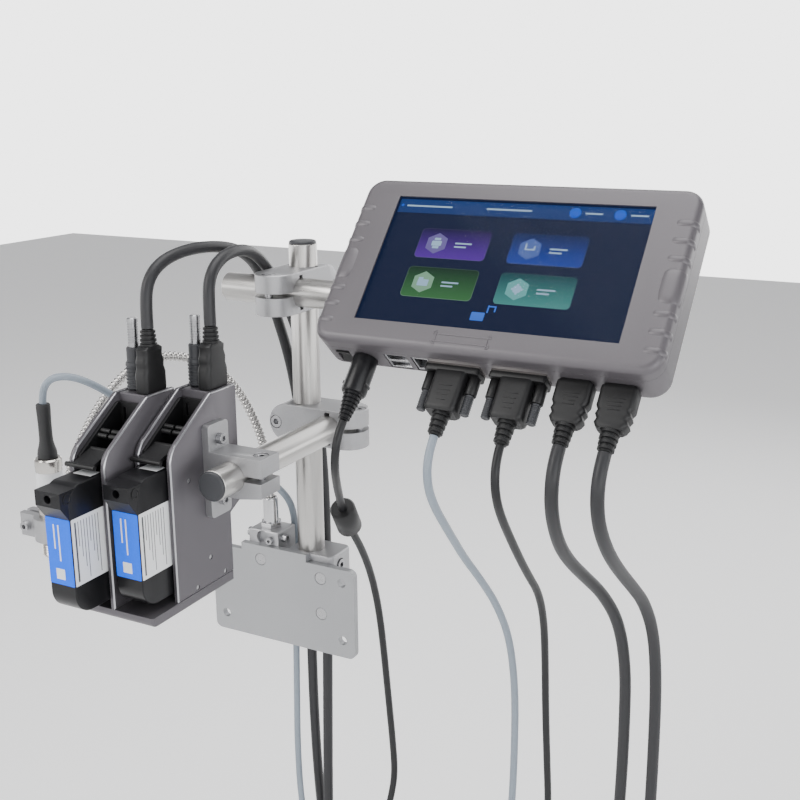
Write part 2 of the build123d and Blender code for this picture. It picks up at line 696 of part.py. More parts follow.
with BuildPart() as port_sockets:
    slab(mouth, usb_x, port_w, 14.0, 14.8, -12)
    for way in (-3.6, 3.6):
        slab(mouth, usb_x, port_w + way, 12.4, 5.2, -9, Mode.SUBTRACT)
    slab(mouth, network_x, port_w, 10.0, 14.8, -12)
    slab(mouth, network_x, port_w, 8.4, 11.0, -9, Mode.SUBTRACT)
    for x in hdmi_xs:
        slab(mouth, x, port_w, hdmi_w - 0.6, hdmi_h - 0.6, -12)
        slab(mouth, x, port_w, hdmi_w - 1.6, hdmi_h - 1.6, -10, Mode.SUBTRACT)
    disc(at_spot(mouth, power_x, port_w), 13.0, -12)
    disc(at_spot(mouth, power_x, port_w), 10.6, -9, Mode.SUBTRACT)
save(port_sockets, "port_sockets")

switch_pivot = panel.from_local_coords((switch_x, panel_low + panel_wall, port_w))
with BuildPart() as power_switch:
    with BuildSketch(Plane(origin=switch_pivot, x_dir=off_panel, z_dir=(1, 0, 0))):
        with BuildLine():
            Polyline((-6.0, -2.4), (-6.0, 2.6), (0, 1.2), (6.0, 3.6), (6.0, -2.4), close=True)
        make_face()
    extrude(amount=4.0, both=True)
save(power_switch, "power_switch")

across_rod = Plane(origin=panel.from_local_coords((bracket_mid, 0, 0)), x_dir=up_panel, z_dir=(1, 0, 0))
bracket_wall = 4.5
ring_r, ring_half = tube_d / 2 + bracket_wall, 17.0
ear_at, ear_slit = -9.5 - tube_d / 2, 2.6
with BuildPart() as controller_bracket:
    pad_back = panel.offset(panel_back - bracket_pad_t)
    slab(pad_back, bracket_mid, 0, bracket_pad_w, bracket_pad_h, bracket_pad_t, radius=4)
    for x, y in bracket_screws:
        disc(at_spot(panel, x, y, panel_back - bracket_pad_t), 4.1, 10, Mode.SUBTRACT)
    with BuildSketch(across_rod):
        Circle(ring_r)
        with Locations((ear_at + 4, 0)):
            Rectangle(18, 15)
        with Locations((0, 6.5)):
            Rectangle(22, 13)
    extrude(amount=ring_half, both=True)
    disc(across_rod.offset(-40), tube_d + 2 * bore_gap, 80, Mode.SUBTRACT)
    slab(across_rod.offset(-40), ear_at, 0, 30, ear_slit, 80, Mode.SUBTRACT)
    for x in (-9, 9):
        ear_screw = at_spot(across_rod, ear_at, 0, x)
        through = Plane(origin=ear_screw.origin, z_dir=off_panel)
        disc(through.offset(-20), 4.1, 40, Mode.SUBTRACT)
save(controller_bracket, "controller_bracket")

with BuildPart() as controller_screws:
    for x, y in bracket_screws:
        seat = at_spot(panel, x, y, panel_back - bracket_pad_t)
        cap_screw(Plane(origin=seat.origin, z_dir=off_panel * -1), 4, bracket_pad_t + 3.4)
    for x in (-9, 9):
        seat = at_spot(across_rod, ear_at, -7.5, x)
        cap_screw(Plane(origin=seat.origin, z_dir=off_panel * -1), 4, 14)
save(controller_screws, "controller_screws")

# ---- plugs under the controller -----------------------------------------------------------------
under_face = edge_plane(panel_low)
dsub_hood, dsub_reach, hood_w = 29.0, 42.0, 19.0
thumb_d = 7.0
thumb_off = (hood_w + thumb_d) / 2 + 0.2
with BuildPart() as dsub_plugs:
    for x in dsub_xs:
        slab(under_face, x, port_w, 33.0, 12.6, 5.0, radius=1.5)
        slab(under_face, x, port_w, hood_w, 14.4, dsub_hood, radius=3)
        disc(at_spot(under_face, x, port_w, dsub_hood), 9.0, dsub_reach - dsub_hood)
        slab(under_face, x, port_w, dsub_w - 2.6, dsub_h - 2.6, -5, radius=2)
save(dsub_plugs, "dsub_plugs")

with BuildPart() as plug_thumbscrews:
    for x in dsub_xs:
        for way in (-1, 1):
            disc(at_spot(under_face, x + way * thumb_off, port_w, 5.0), thumb_d, 11.0)
            disc(at_spot(under_face, x + way * thumb_off, port_w, 16.0), 5.6, 12.0)
save(plug_thumbscrews, "plug_thumbscrews")

hdmi_body, hdmi_reach = 26.0, 38.0
with BuildPart() as controller_hdmi_plugs:
    for x in hdmi_xs:
        slab(under_face, x, port_w, 20.5, 11.0, hdmi_body, radius=3)
        disc(at_spot(under_face, x, port_w, hdmi_body), 8.8, hdmi_reach - hdmi_body)
        slab(under_face, x, port_w, hdmi_w - 2.0, hdmi_h - 2.0, -8)
save(controller_hdmi_plugs, "controller_hdmi_plugs")

power_body, power_reach = 24.0, 41.0
with BuildPart() as power_plug:
    disc(at_spot(under_face, power_x, port_w), 15.0, power_body)
    with BuildSketch(at_spot(under_face, power_x, port_w, power_body)):
        Circle(5.6)
    extrude(amount=power_reach - power_body, taper=8)
    disc(at_spot(under_face, power_x, port_w), 10.4, -8)
    slab(under_face, power_x, port_w - 8.0, 6.0, 4.0, 16)
save(power_plug, "power_plug")

# ---- photocell and gooseneck --------------------------------------------------------------------
block_y = mount_t + block_d / 2
with BuildPart() as sensor_block:
    slab(level(block_x, block_y, block_low), 0, 0, block_w, block_d, block_top - block_low)
    chamfer(sensor_block.faces().sort_by(Axis.Z)[-1].edges(), 0.8)
    disc(at_spot(facing_front(mount_t), block_x - 0.9, 42.0), 10.0, -3.0, Mode.SUBTRACT)
    disc(Plane(origin=(block_x, mount_t, block_low + 6), z_dir=(0, 1, 0)), 5.1, 6.0, Mode.SUBTRACT)
    disc(at_spot(facing_front(mount_t), block_x + 6, 41.0), 3.1, -6.0, Mode.SUBTRACT)
    for way in (-1, 1):
        side = Plane(origin=(block_x + way * block_w / 2, 11.5, 42.0), z_dir=(way, 0, 0))
        disc(side, 4.1, -5.5, Mode.SUBTRACT)
save(sensor_block, "sensor_block")

hose_x, hose_y = -18.0, 16.0
with BuildPart() as gooseneck_fitting:
    with BuildSketch(level(hose_x, hose_y, block_top)):
        RegularPolygon(8.1, 6)
    extrude(amount=4.0)
    disc(level(hose_x, hose_y, block_top), 11.0, 22.8)
    disc(level(hose_x, hose_y, block_top + 17), hose_d + 0.2, 10, Mode.SUBTRACT)
    rim = gooseneck_fitting.faces().sort_by(Axis.Z)[-1].edges().sort_by(SortBy.LENGTH)
    fillet(rim[-1:], 1.2)
save(gooseneck_fitting, "gooseneck_fitting")

boss_x, boss_y, boss_top = -119.0, -82.0, 86.0
fin_reach = 17.0
with BuildPart() as sensor_clamp:
    disc(level(cell_x, cell_y, ring_low), 26.0, ring_high - ring_low)
    fin_mid = level(cell_x - 6 - fin_reach / 2, cell_y, ring_low)
    slab(fin_mid, 0, 0, fin_reach + 4, 13.0, ring_high - ring_low, radius=2)
    disc(level(boss_x, boss_y, ring_high - 8), 11.0, boss_top - ring_high + 8)
    disc(level(cell_x, cell_y, ring_low - 1), cell_d + 2 * bore_gap, 20, Mode.SUBTRACT)
    slab(fin_mid.offset(-1), 0, 0, fin_reach + 10, 2.4, 20, Mode.SUBTRACT)
    disc(level(boss_x, boss_y, ring_high), hose_d + 0.2, 10, Mode.SUBTRACT)
    fin_screw = Plane(origin=(cell_x - 17.5, cell_y - 6.5, (ring_low + ring_high) / 2), z_dir=(0, -1, 0))
    disc(fin_screw.offset(-20), 4.1, 40, Mode.SUBTRACT)
    cap_screw(fin_screw, 4, 12.5)
save(sensor_clamp, "sensor_clamp")

with BuildPart() as photocell:
    disc(level(cell_x, cell_y, cell_low), cell_d, cell_high - cell_low)
    fillet(photocell.faces().sort_by(Axis.Z)[-1].edges(), 1.0)
    disc(level(cell_x, cell_y, cell_low), cell_d - 3, 1.2, Mode.SUBTRACT)
    disc(level(cell_x, cell_y, cell_low + 1.2), cell_d - 3.4, -0.8)
save(photocell, "photocell")

boot_top = 156.0
with BuildPart() as photocell_boot:
    disc(level(cell_x, cell_y, cell_high), 13.0, 9.0)
    with BuildSketch(level(cell_x, cell_y, cell_high + 9.0)):
        Circle(5.4)
    extrude(amount=boot_top - cell_high - 9.0, taper=2.4)
save(photocell_boot, "photocell_boot")

# the gooseneck keeps its shape, so it is a fixed run from its fitting to the clamp's boss
hose_route = (
    (hose_x, hose_y, block_top + 17), (-18.4, 15.5, 90), (-20.5, 12.5, 113), (-26, 8.5, 133),
    (-33, 4, 150), (-43, -3, 165), (-58, -13.5, 175), (-76, -25.5, 177.5), (-92, -36.5, 170),
    (-104, -48, 155), (-112, -60, 136), (-117, -71, 116), (-119, -79, 99), (boss_x, boss_y, ring_high),
)
gooseneck = cord("gooseneck", hose_d, hose_route)
save(gooseneck, "gooseneck")

# ---- cords --------------------------------------------------------------------------------------
hdmi_route_left = (
    (-15.7, -108, 217.4), (-16.3, -107.5, 232), (-17, -104, 244), (-16.6, -95, 253), (-15, -79, 258.5),
    (-12.5, -54, 260), (-11.5, -24, 255.5), (-15.5, 1, 245), (-19, 20, 227), (-18, 32, 201),
    (-13, 39, 170), (-8, 42.5, 132), (-5, 43.5, 88), (-3, 43, 40), (-2.5, 42, -10), (-2.5, 41, -62),
    (-2, 41, -115), (0, 41, -168), (4, 41, -220), (14, 40, -272), (35, 39, -320), (71, 37, -357),
    (117, 35, -374), (165, 33, -368), (208, 30, -340), (239, 27, -298), (257, 24, -250),
    (266, 20, -201), (270, 16, -150), (271, 13, -98), (271.3, 12, -48), (271, 10, -4), (270, 2, 33),
    (267.5, -14, 60), (265, -35, 79), (264, -55, 95), (263.7, -74, 111), (263.6, -89, 127),
    (263.5, -98.5, 142), (263.5, -101, 156), (263.5, -97.3, 167.8), (263.5, -91.3, 174.4),
)
hdmi_route_right = (
    (12.5, -84, 217.4), (11.9, -83.5, 232), (10.3, -80, 244), (9, -71, 252.5), (8, -56, 257.5),
    (6, -36, 257), (1, -14, 249), (-5, 9, 234), (-5.5, 27, 212), (-0.5, 36, 182), (6, 41, 145),
    (9.5, 43.5, 104), (11.5, 43.5, 58), (12, 42, 8), (12, 41, -45), (12, 39, -98), (12.5, 36, -152),
    (14, 32, -206), (19, 28, -259), (32, 24, -310), (58, 20, -353), (96, 17, -384), (139, 15, -390),
    (179, 13, -369), (210, 12, -332), (230, 11, -287), (241, 11, -238), (247, 11, -187),
    (250, 11.5, -136), (251.5, 12, -86), (252, 11, -38), (251.5, 9, 4), (248, 1, 37),
    (242, -15, 61), (237, -35, 79), (235, -55, 95), (235.6, -74, 111), (237.2, -89, 127),
    (238.4, -98.5, 142), (239, -101, 156), (239, -97.3, 167.8), (239, -91.3, 174.4),
)
sensor_route = (
    (cell_x, cell_y, boot_top + 0.3), (-115.5, -99, 164), (-111, -98.5, 171.5), (-103, -97, 175.5),
    (-93, -92, 175), (-84, -84, 169), (-75.5, -73, 158.5), (-66, -58, 143), (-54, -41, 125),
    (-40, -23, 109), (-25, -7, 98), (-11, 5, 87), (-4, 15, 74), (-5, 25, 60), (-9, 33, 43),
    (-12, 37, 20), (-13, 37.5, -10), (-13, 36, -46), (-12, 33, -90), (-10, 28, -138),
    (-5, 23, -185), (7, 19, -228), (31, 16, -266), (68, 14.5, -288), (110, 14, -284),
    (143, 14, -256), (162, 14, -216), (171, 14, -172), (175, 14, -126), (176.5, 13, -80),
    (176.5, 12, -34), (173.5, 8, 5), (168.5, -4, 34), (164.5, -22, 58), (163, -42, 79),
    (164.5, -60, 97), (166, -77, 114), (167, -91, 129), (167.8, -100.5, 142.5),
    (168, -103, 154.5), (168, -99.5, 165.2), (168, -94, 171.3),
)
encoder_route = (
    (207, -94, 171.3), (207.3, -99.5, 165.2), (208, -103, 154.5), (208, -100, 142.5),
    (207, -90, 129), (205.5, -75, 113), (204, -57, 94), (202.5, -37, 74), (202, -16, 53),
    (199.5, 1, 26), (197, 12, -8), (196, 18, -45), (195.8, 24, -86), (195.7, 30, -126),
    (195.6, 34, -157), (192.6, 34, -175), (183.2, 34, -189.2),
)
power_route = (
    (110, -93.4, 172), (109.8, -98.5, 166.3), (109, -101, 156), (106, -97, 144.5),
    (101, -87.5, 133), (94.5, -74.5, 120.5), (86.5, -58, 105), (82, -40, 83), (79.5, -20, 59),
    (76.5, -3, 33), (75, 9, 2), (74.5, 16, -33), (74.2, 22, -70), (74, 28, -107), (73.8, 32, -139),
    (73.6, 33, -157), (71, 33, -171), (62.2, 33, -182.2),
)

hdmi_lead_left = cord("hdmi_lead_left", cord_hdmi, hdmi_route_left)
save(hdmi_lead_left, "hdmi_lead_left")
hdmi_lead_right = cord("hdmi_lead_right", cord_hdmi, hdmi_route_right)
save(hdmi_lead_right, "hdmi_lead_right")
sensor_lead = cord("sensor_lead", cord_thin, sensor_route)
save(sensor_lead, "sensor_lead")
encoder_lead = cord("encoder_lead", cord_thin, encoder_route)
save(encoder_lead, "encoder_lead")
power_lead = cord("power_lead", cord_thin, power_route)
save(power_lead, "power_lead")

coil_ring, coil_bundle = 55.0, 16.0
encoder_coil_at = (197.0, 34.0, -213.0)
power_coil_at = (76.0, 33.0, -206.0)
encoder_lead_coil = coil(*encoder_coil_at, coil_ring, coil_bundle)
save(encoder_lead_coil, "encoder_lead_coil")
power_lead_coil = coil(*power_coil_at, coil_ring, coil_bundle)
save(power_lead_coil, "power_lead_coil")

plug_side, plug_drop = -31.0, -42.0     # from a coil's middle to the top of its plug
spare_plugs = {
    "encoder_lead_plug": (encoder_coil_at, 14.0, 26.0, 11.4, 8.0),
    "power_lead_plug": (power_coil_at, 12.0, 24.0, 8.0, 9.0),
}
for name, (middle, body_d, body_l, tip_d, tip_l) in spare_plugs.items():
    x, y, z = middle
    with BuildPart() as spare_plug:
        disc(level(x + plug_side, y, z + plug_drop), 6.0, 32.0)
        disc(level(x + plug_side, y, z + plug_drop), 8.0, -12.0)
        disc(level(x + plug_side, y, z + plug_drop - 12), body_d, -body_l)
        disc(level(x + plug_side, y, z + plug_drop - 12 - body_l), tip_d, -tip_l)
    save(spare_plug, name)

ferrite_low, ferrite_high = Vector(82, -40, 83), Vector(86.5, -58, 105)
with BuildPart() as ferrite:
    along = (ferrite_high - ferrite_low).normalized()
    middle = (ferrite_high + ferrite_low) * 0.5
    disc(Plane(origin=middle - along * 12, z_dir=along), 16.0, 24.0)
    fillet(ferrite.edges().filter_by(GeomType.CIRCLE), 1.5)
    disc(Plane(origin=middle - along * 20, z_dir=along), cord_thin + 0.4, 40.0, Mode.SUBTRACT)
save(ferrite, "ferrite")
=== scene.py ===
# %% [markdown]
# # A date coder on a post
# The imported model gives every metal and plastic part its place. This notebook dresses those parts,
# remakes the ones whose looks matter most, and adds the leads, the screen's picture and the labels.

# %% Load the frame
import json
import math

import bmesh
import bpy
from mathutils import Matrix, Vector

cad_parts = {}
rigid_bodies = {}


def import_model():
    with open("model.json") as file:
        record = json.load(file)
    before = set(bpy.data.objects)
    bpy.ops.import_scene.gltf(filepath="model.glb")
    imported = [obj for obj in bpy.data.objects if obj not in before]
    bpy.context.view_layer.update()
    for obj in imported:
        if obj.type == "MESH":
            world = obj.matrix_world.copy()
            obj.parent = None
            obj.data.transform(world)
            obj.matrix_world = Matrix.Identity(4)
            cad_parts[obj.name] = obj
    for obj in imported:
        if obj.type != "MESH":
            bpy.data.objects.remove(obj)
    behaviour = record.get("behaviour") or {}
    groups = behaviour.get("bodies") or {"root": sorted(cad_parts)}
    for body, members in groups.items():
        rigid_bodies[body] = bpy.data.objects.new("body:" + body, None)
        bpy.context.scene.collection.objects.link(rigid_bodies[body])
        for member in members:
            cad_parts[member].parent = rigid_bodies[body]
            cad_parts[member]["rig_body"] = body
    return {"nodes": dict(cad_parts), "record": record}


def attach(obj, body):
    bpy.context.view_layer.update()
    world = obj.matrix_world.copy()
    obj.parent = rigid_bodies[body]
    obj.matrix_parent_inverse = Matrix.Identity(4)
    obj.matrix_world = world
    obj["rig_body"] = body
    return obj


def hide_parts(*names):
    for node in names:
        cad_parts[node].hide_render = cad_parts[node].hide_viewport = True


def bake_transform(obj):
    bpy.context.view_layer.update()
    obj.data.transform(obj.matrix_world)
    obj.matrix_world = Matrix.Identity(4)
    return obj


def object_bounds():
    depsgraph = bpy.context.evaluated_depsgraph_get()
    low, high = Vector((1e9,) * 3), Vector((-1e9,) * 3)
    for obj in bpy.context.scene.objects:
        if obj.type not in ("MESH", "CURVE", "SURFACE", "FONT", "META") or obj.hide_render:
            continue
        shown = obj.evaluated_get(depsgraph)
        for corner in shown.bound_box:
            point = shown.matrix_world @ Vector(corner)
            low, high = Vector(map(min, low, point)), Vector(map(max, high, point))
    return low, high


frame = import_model()
nodes = frame["nodes"]
cad_box = [list(corner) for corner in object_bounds()]
MM = 0.001
scene = bpy.context.scene
print("parts in the frame:", len(nodes))

# %% [markdown]
# ## Camera, light and floor
# The camera stands to the right of the heads and looks slightly down. Large soft lights and a pale
# world give metal something broad to reflect, which is what makes satin aluminium read as metal.

# %% Camera
azimuth, down, roll = math.radians(27.96), math.radians(15.34), math.radians(-0.425)
forward = Vector((-math.sin(azimuth) * math.cos(down), math.cos(azimuth) * math.cos(down), -math.sin(down)))
right = Vector((math.cos(azimuth), math.sin(azimuth), 0))
up = right.cross(forward)
rolled_right = right * math.cos(roll) + up * math.sin(roll)
rolled_up = up * math.cos(roll) - right * math.sin(roll)
lens = bpy.data.cameras.new("camera")
lens.lens, lens.sensor_width, lens.clip_start = 51.69, 36.0, 0.01
camera = bpy.data.objects.new("camera", lens)
scene.collection.objects.link(camera)
camera.matrix_world = Matrix((rolled_right, rolled_up, -forward)).transposed().to_4x4()
camera.location = (0.4327, -0.6319, 0.3564)
scene.camera = camera


# %% Lights, world and floor
def soft_light(name, place, target, size, power, tint=(1.0, 1.0, 1.0)):
    lamp = bpy.data.lights.new(name, "AREA")
    lamp.shape, lamp.size, lamp.energy, lamp.color = "DISK", size, power, tint
    holder = bpy.data.objects.new(name, lamp)
    scene.collection.objects.link(holder)
    holder.location = place
    holder.rotation_euler = (Vector(target) - Vector(place)).to_track_quat("-Z", "Y").to_euler()


middle = (0.07, -0.05, 0.12)
soft_light("key", (-0.9, -1.3, 1.3), middle, 1.2, 26, (1.0, 0.99, 0.97))
soft_light("fill", (1.5, -0.9, 0.7), middle, 1.4, 14, (0.96, 0.98, 1.0))
soft_light("top", (0.1, 0.1, 1.7), middle, 1.6, 30)
soft_light("back", (0.3, 1.5, 0.9), middle, 1.4, 12)
world = bpy.data.worlds.new("studio")
scene.world = world
world.use_nodes = True
tree = world.node_tree
sky = tree.nodes["Background"]
place = tree.nodes.new("ShaderNodeTexCoord")
height = tree.nodes.new("ShaderNodeSeparateXYZ")
tree.links.new(place.outputs["Generated"], height.inputs["Vector"])
shade = tree.nodes.new("ShaderNodeValToRGB")
ramp = shade.color_ramp
ramp.elements[0].position, ramp.elements[1].position = 0.09, 0.8
ramp.elements[0].color = (1.0, 1.0, 1.0, 1)
ramp.elements[1].color = (0.07, 0.07, 0.074, 1)
ramp.elements.new(0.2).color = (0.17, 0.17, 0.174, 1)
tree.links.new(height.outputs["Z"], shade.inputs["Fac"])
tree.links.new(shade.outputs["Color"], sky.inputs["Color"])
sky.inputs["Strength"].default_value = 3.6


def paint(name):
    """A new node material and its shader."""
    made = bpy.data.materials.new(name)
    made.use_nodes = True
    return made, made.node_tree.nodes["Principled BSDF"]


floor_paint, shader = paint("floor_white")
shader.inputs["Base Color"].default_value = (0.93, 0.93, 0.93, 1)
shader.inputs["Roughness"].default_value = 0.7
shader.inputs["Emission Color"].default_value = (1.0, 1.0, 1.0, 1)
shader.inputs["Emission Strength"].default_value = 0.25
floor_half, floor_gap = 4.0, 0.004
floor_at = Matrix.Translation((0, 0, cad_box[0][2] - floor_gap))
form = bmesh.new()
bmesh.ops.create_grid(form, x_segments=1, y_segments=1, size=floor_half, matrix=floor_at)
floor_mesh = bpy.data.meshes.new("floor")
form.to_mesh(floor_mesh)
form.free()
floor = bpy.data.objects.new("floor", floor_mesh)
floor_mesh.materials.append(floor_paint)
scene.collection.objects.link(floor)
print("floor at", round(floor_at.translation.z, 4))

# %% [markdown]
# ## Finishes
# Each finish is one shader whose colour, roughness and bump come from noise on Object coordinates,
# so a finish has a grain at its real scale: about half a millimetre on blasted metal, long fine
# lines on drawn tube, a soft orange peel on moulded plastic.


# %% A helper for finishes
broad_scale, broad_share = 18.0, 0.35
gloss_spread = 0.09


def finish(name, colour, metallic=0.0, rough=0.5, grain=900.0, stretch=(1, 1, 1), vary=0.12,
           bump=0.08, depth=0.00006, shine=0.5):
    """A material with a fine grain over broad clouds, whose colour and roughness vary a little."""
    made, shader = paint(name)
    tree = made.node_tree
    link = tree.links.new
    place = tree.nodes.new("ShaderNodeTexCoord")
    turn = tree.nodes.new("ShaderNodeMapping")
    turn.inputs["Scale"].default_value = stretch
    link(place.outputs["Object"], turn.inputs["Vector"])
    fine = tree.nodes.new("ShaderNodeTexNoise")
    fine.inputs["Scale"].default_value = grain
    fine.inputs["Detail"].default_value = 3.0
    link(turn.outputs["Vector"], fine.inputs["Vector"])
    broad = tree.nodes.new("ShaderNodeTexNoise")
    broad.inputs["Scale"].default_value = broad_scale
    broad.inputs["Detail"].default_value = 4.0
    link(place.outputs["Object"], broad.inputs["Vector"])
    both = tree.nodes.new("ShaderNodeMix")
    both.inputs["Factor"].default_value = broad_share
    link(fine.outputs["Fac"], both.inputs["A"])
    link(broad.outputs["Fac"], both.inputs["B"])
    shade = tree.nodes.new("ShaderNodeValToRGB")
    dark = [channel * (1 - vary) for channel in colour]
    light = [min(1.0, channel * (1 + vary)) for channel in colour]
    shade.color_ramp.elements[0].position, shade.color_ramp.elements[1].position = 0.3, 0.7
    shade.color_ramp.elements[0].color = (*dark, 1)
    shade.color_ramp.elements[1].color = (*light, 1)
    link(both.outputs["Result"], shade.inputs["Fac"])
    link(shade.outputs["Color"], shader.inputs["Base Color"])
    gloss = tree.nodes.new("ShaderNodeMapRange")
    gloss.inputs["To Min"].default_value = max(0.02, rough - gloss_spread)
    gloss.inputs["To Max"].default_value = min(1.0, rough + gloss_spread)
    link(both.outputs["Result"], gloss.inputs["Value"])
    link(gloss.outputs["Result"], shader.inputs["Roughness"])
    if bump:
        raised = tree.nodes.new("ShaderNodeBump")
        raised.inputs["Strength"].default_value = bump
        raised.inputs["Distance"].default_value = depth
        link(fine.outputs["Fac"], raised.inputs["Height"])
        link(raised.outputs["Normal"], shader.inputs["Normal"])
    shader.inputs["Metallic"].default_value = metallic
    shader.inputs["Specular IOR Level"].default_value = shine
    return made


# %% The finishes of this machine
silver = (0.36, 0.36, 0.37)
blasted = finish("blasted_aluminium", silver, 0.85, 0.42, grain=1500, vary=0.08, bump=0.25)
tube_metal, drawn_out = (0.46, 0.45, 0.435), 0.03
drawn_x = finish("drawn_tube_along_x", tube_metal, 0.95, 0.30, 2200, (drawn_out, 1, 1), 0.07, 0.2)
drawn_y = finish("drawn_tube_along_y", tube_metal, 0.95, 0.30, 2200, (1, drawn_out, 1), 0.07, 0.2)
drawn_z = finish("drawn_tube_along_z", tube_metal, 0.95, 0.30, 2200, (1, 1, drawn_out), 0.07, 0.2)
head_grey = finish("head_anodised_grey", (0.100, 0.094, 0.104), 0.5, 0.44, 1700, vary=0.08, bump=0.2)
bright_edge = finish("machined_edge", (0.42, 0.42, 0.44), 1.0, 0.3, 2500, (1, 1, 0.1), 0.06, 0.15)
case_grey = finish("case_satin_grey", (0.094, 0.087, 0.095), 0.35, 0.42, 1300, vary=0.05, bump=0.3)
black = finish("moulded_black", (0.0055, 0.0055, 0.006), 0.0, 0.46, 1200, vary=0.25, bump=0.3, shine=0.35)
gloss_black = finish("cartridge_black", (0.006, 0.006, 0.007), 0.0, 0.32, 700, vary=0.2, bump=0.12,
                     shine=0.28)
cap_grey = finish("cap_dark_grey", (0.020, 0.021, 0.025), 0.0, 0.5, 1400, vary=0.15, bump=0.3)
rubber = finish("boot_rubber", (0.010, 0.010, 0.011), 0.0, 0.6, 1100, vary=0.2, bump=0.35)
steel = finish("screw_steel", (0.38, 0.38, 0.39), 1.0, 0.28, 2600, vary=0.1, bump=0.15)
chrome = finish("bright_chrome", (0.55, 0.55, 0.56), 1.0, 0.13, 600, vary=0.05, bump=0.04)
board_green = finish("board_green", (0.015, 0.12, 0.05), 0.0, 0.35, 500, vary=0.3, bump=0.3)
plate_paint = finish("plate_grey", (0.32, 0.325, 0.335), 0.6, 0.4, 1500, vary=0.08, bump=0.25)
print("finishes:", len(bpy.data.materials))

# %% [markdown]
# ## The parts that keep their shape
# Most parts are already right, so they only need a finish. A part from the frame is a heap of loose
# triangles, so a copy is merged, its flat faces are joined up, and a hairline bevel is cut on its
# sharp edges. Light catches that bevel, as it does on every real edge.


# %% Helpers that tidy a part's triangles and put a piece in its place
slots = {part["node"]: part["material_slot"] for part in frame["record"]["subparts"]}
edge_angle = math.radians(32)
same_spot, same_plane = 0.000002, math.radians(0.4)


def body_of(node):
    return nodes[node]["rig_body"]


def place_piece(name, form, body, paints, stands_for=(), slot=None, smooth=40.0, bevel=0.0):
    """Puts a finished mesh, in metres, into the scene and lets it ride on its body."""
    mesh = bpy.data.meshes.new(name)
    form.to_mesh(mesh)
    form.free()
    for one in paints:
        mesh.materials.append(one)
    mesh.shade_smooth()
    mesh.set_sharp_from_angle(angle=math.radians(smooth))
    piece = bpy.data.objects.new(name, mesh)
    scene.collection.objects.link(piece)
    if bevel:
        cut = piece.modifiers.new("edge", "BEVEL")
        cut.width, cut.segments, cut.limit_method = bevel, 2, "ANGLE"
        cut.angle_limit = edge_angle
        cut.use_clamp_overlap = True
        cut.harden_normals = True
    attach(piece, body)
    if stands_for:
        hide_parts(*stands_for)
    return piece


def stand_in(node, form, paints, body=None, **looks):
    """Places a mesh, in metres, that is shown instead of a node, on its body or on another one."""
    body = body or body_of(node)
    return place_piece(node + "_shown", form, body, paints, [node], slots[node], **looks)


def merged(node):
    """A node's mesh as a clean solid, in metres."""
    form = bmesh.new()
    form.from_mesh(nodes[node].data)
    bmesh.ops.remove_doubles(form, verts=form.verts, dist=same_spot)
    bmesh.ops.dissolve_limit(form, angle_limit=same_plane, verts=form.verts, edges=form.edges)
    return form


# %% Dress them
plain = {
    "mount_plate": plate_paint, "foot_block": blasted, "base_screws": steel, "post": drawn_z,
    "post_cap": cap_grey, "sensor_block": blasted, "gooseneck_fitting": chrome,
    "sensor_clamp": blasted, "upper_clamp": blasted, "upper_clamp_screws": steel,
    "upper_rod": drawn_x, "lower_clamp": blasted, "lower_clamp_screws": steel,
    "lower_rod": drawn_y, "lower_rod_cap": cap_grey, "head_bracket": blasted, "head_screws": steel,
    "head_base_plate": head_grey, "right_head_cradle": black, "left_head_cradle": black,
    "right_head_cover": head_grey, "left_head_cover": head_grey, "right_latch": black,
    "left_latch": black, "head_boards": board_green, "controller_bracket": blasted,
    "controller_screws": steel, "controller_back": case_grey, "controller_front": case_grey,
    "control_board": board_green, "dsub_sockets": steel, "port_sockets": steel,
    "power_switch": black,
}
hairline = 0.25 * MM
for node, paint_one in plain.items():
    stand_in(node, merged(node), [paint_one], bevel=hairline)
print("dressed parts:", len(plain))

# %% [markdown]
# ## Shape helpers
# Three helpers make nearly every new piece. `sweep` extrudes a section ring by ring along a line of
# points, `turned` spins a profile round an axis, and `loft` bridges a stack of rounded rectangles.
# Each fills its ends and recalculates its normals, so the mesh is closed and faces outwards. A curve
# with a bevel could make the tubes too, but its rings can't change radius and shape as freely.


# %% Sweeps, turned parts and lofts
def join_rings(form, rings):
    """Bridges each ring of vertices to the next one, and closes the first and the last."""
    loops = [[form.edges.new(pair) for pair in zip(ring, ring[1:] + ring[:1])] for ring in rings]
    faces = []
    for near, far in zip(loops, loops[1:]):
        faces += bmesh.ops.bridge_loops(form, edges=near + far)["faces"]
    for loop in (loops[0], loops[-1]):
        faces += bmesh.ops.contextual_create(form, geom=loop)["faces"]
    bmesh.ops.recalc_face_normals(form, faces=faces)


def bent(value, power):
    return math.copysign(abs(value) ** power, value)


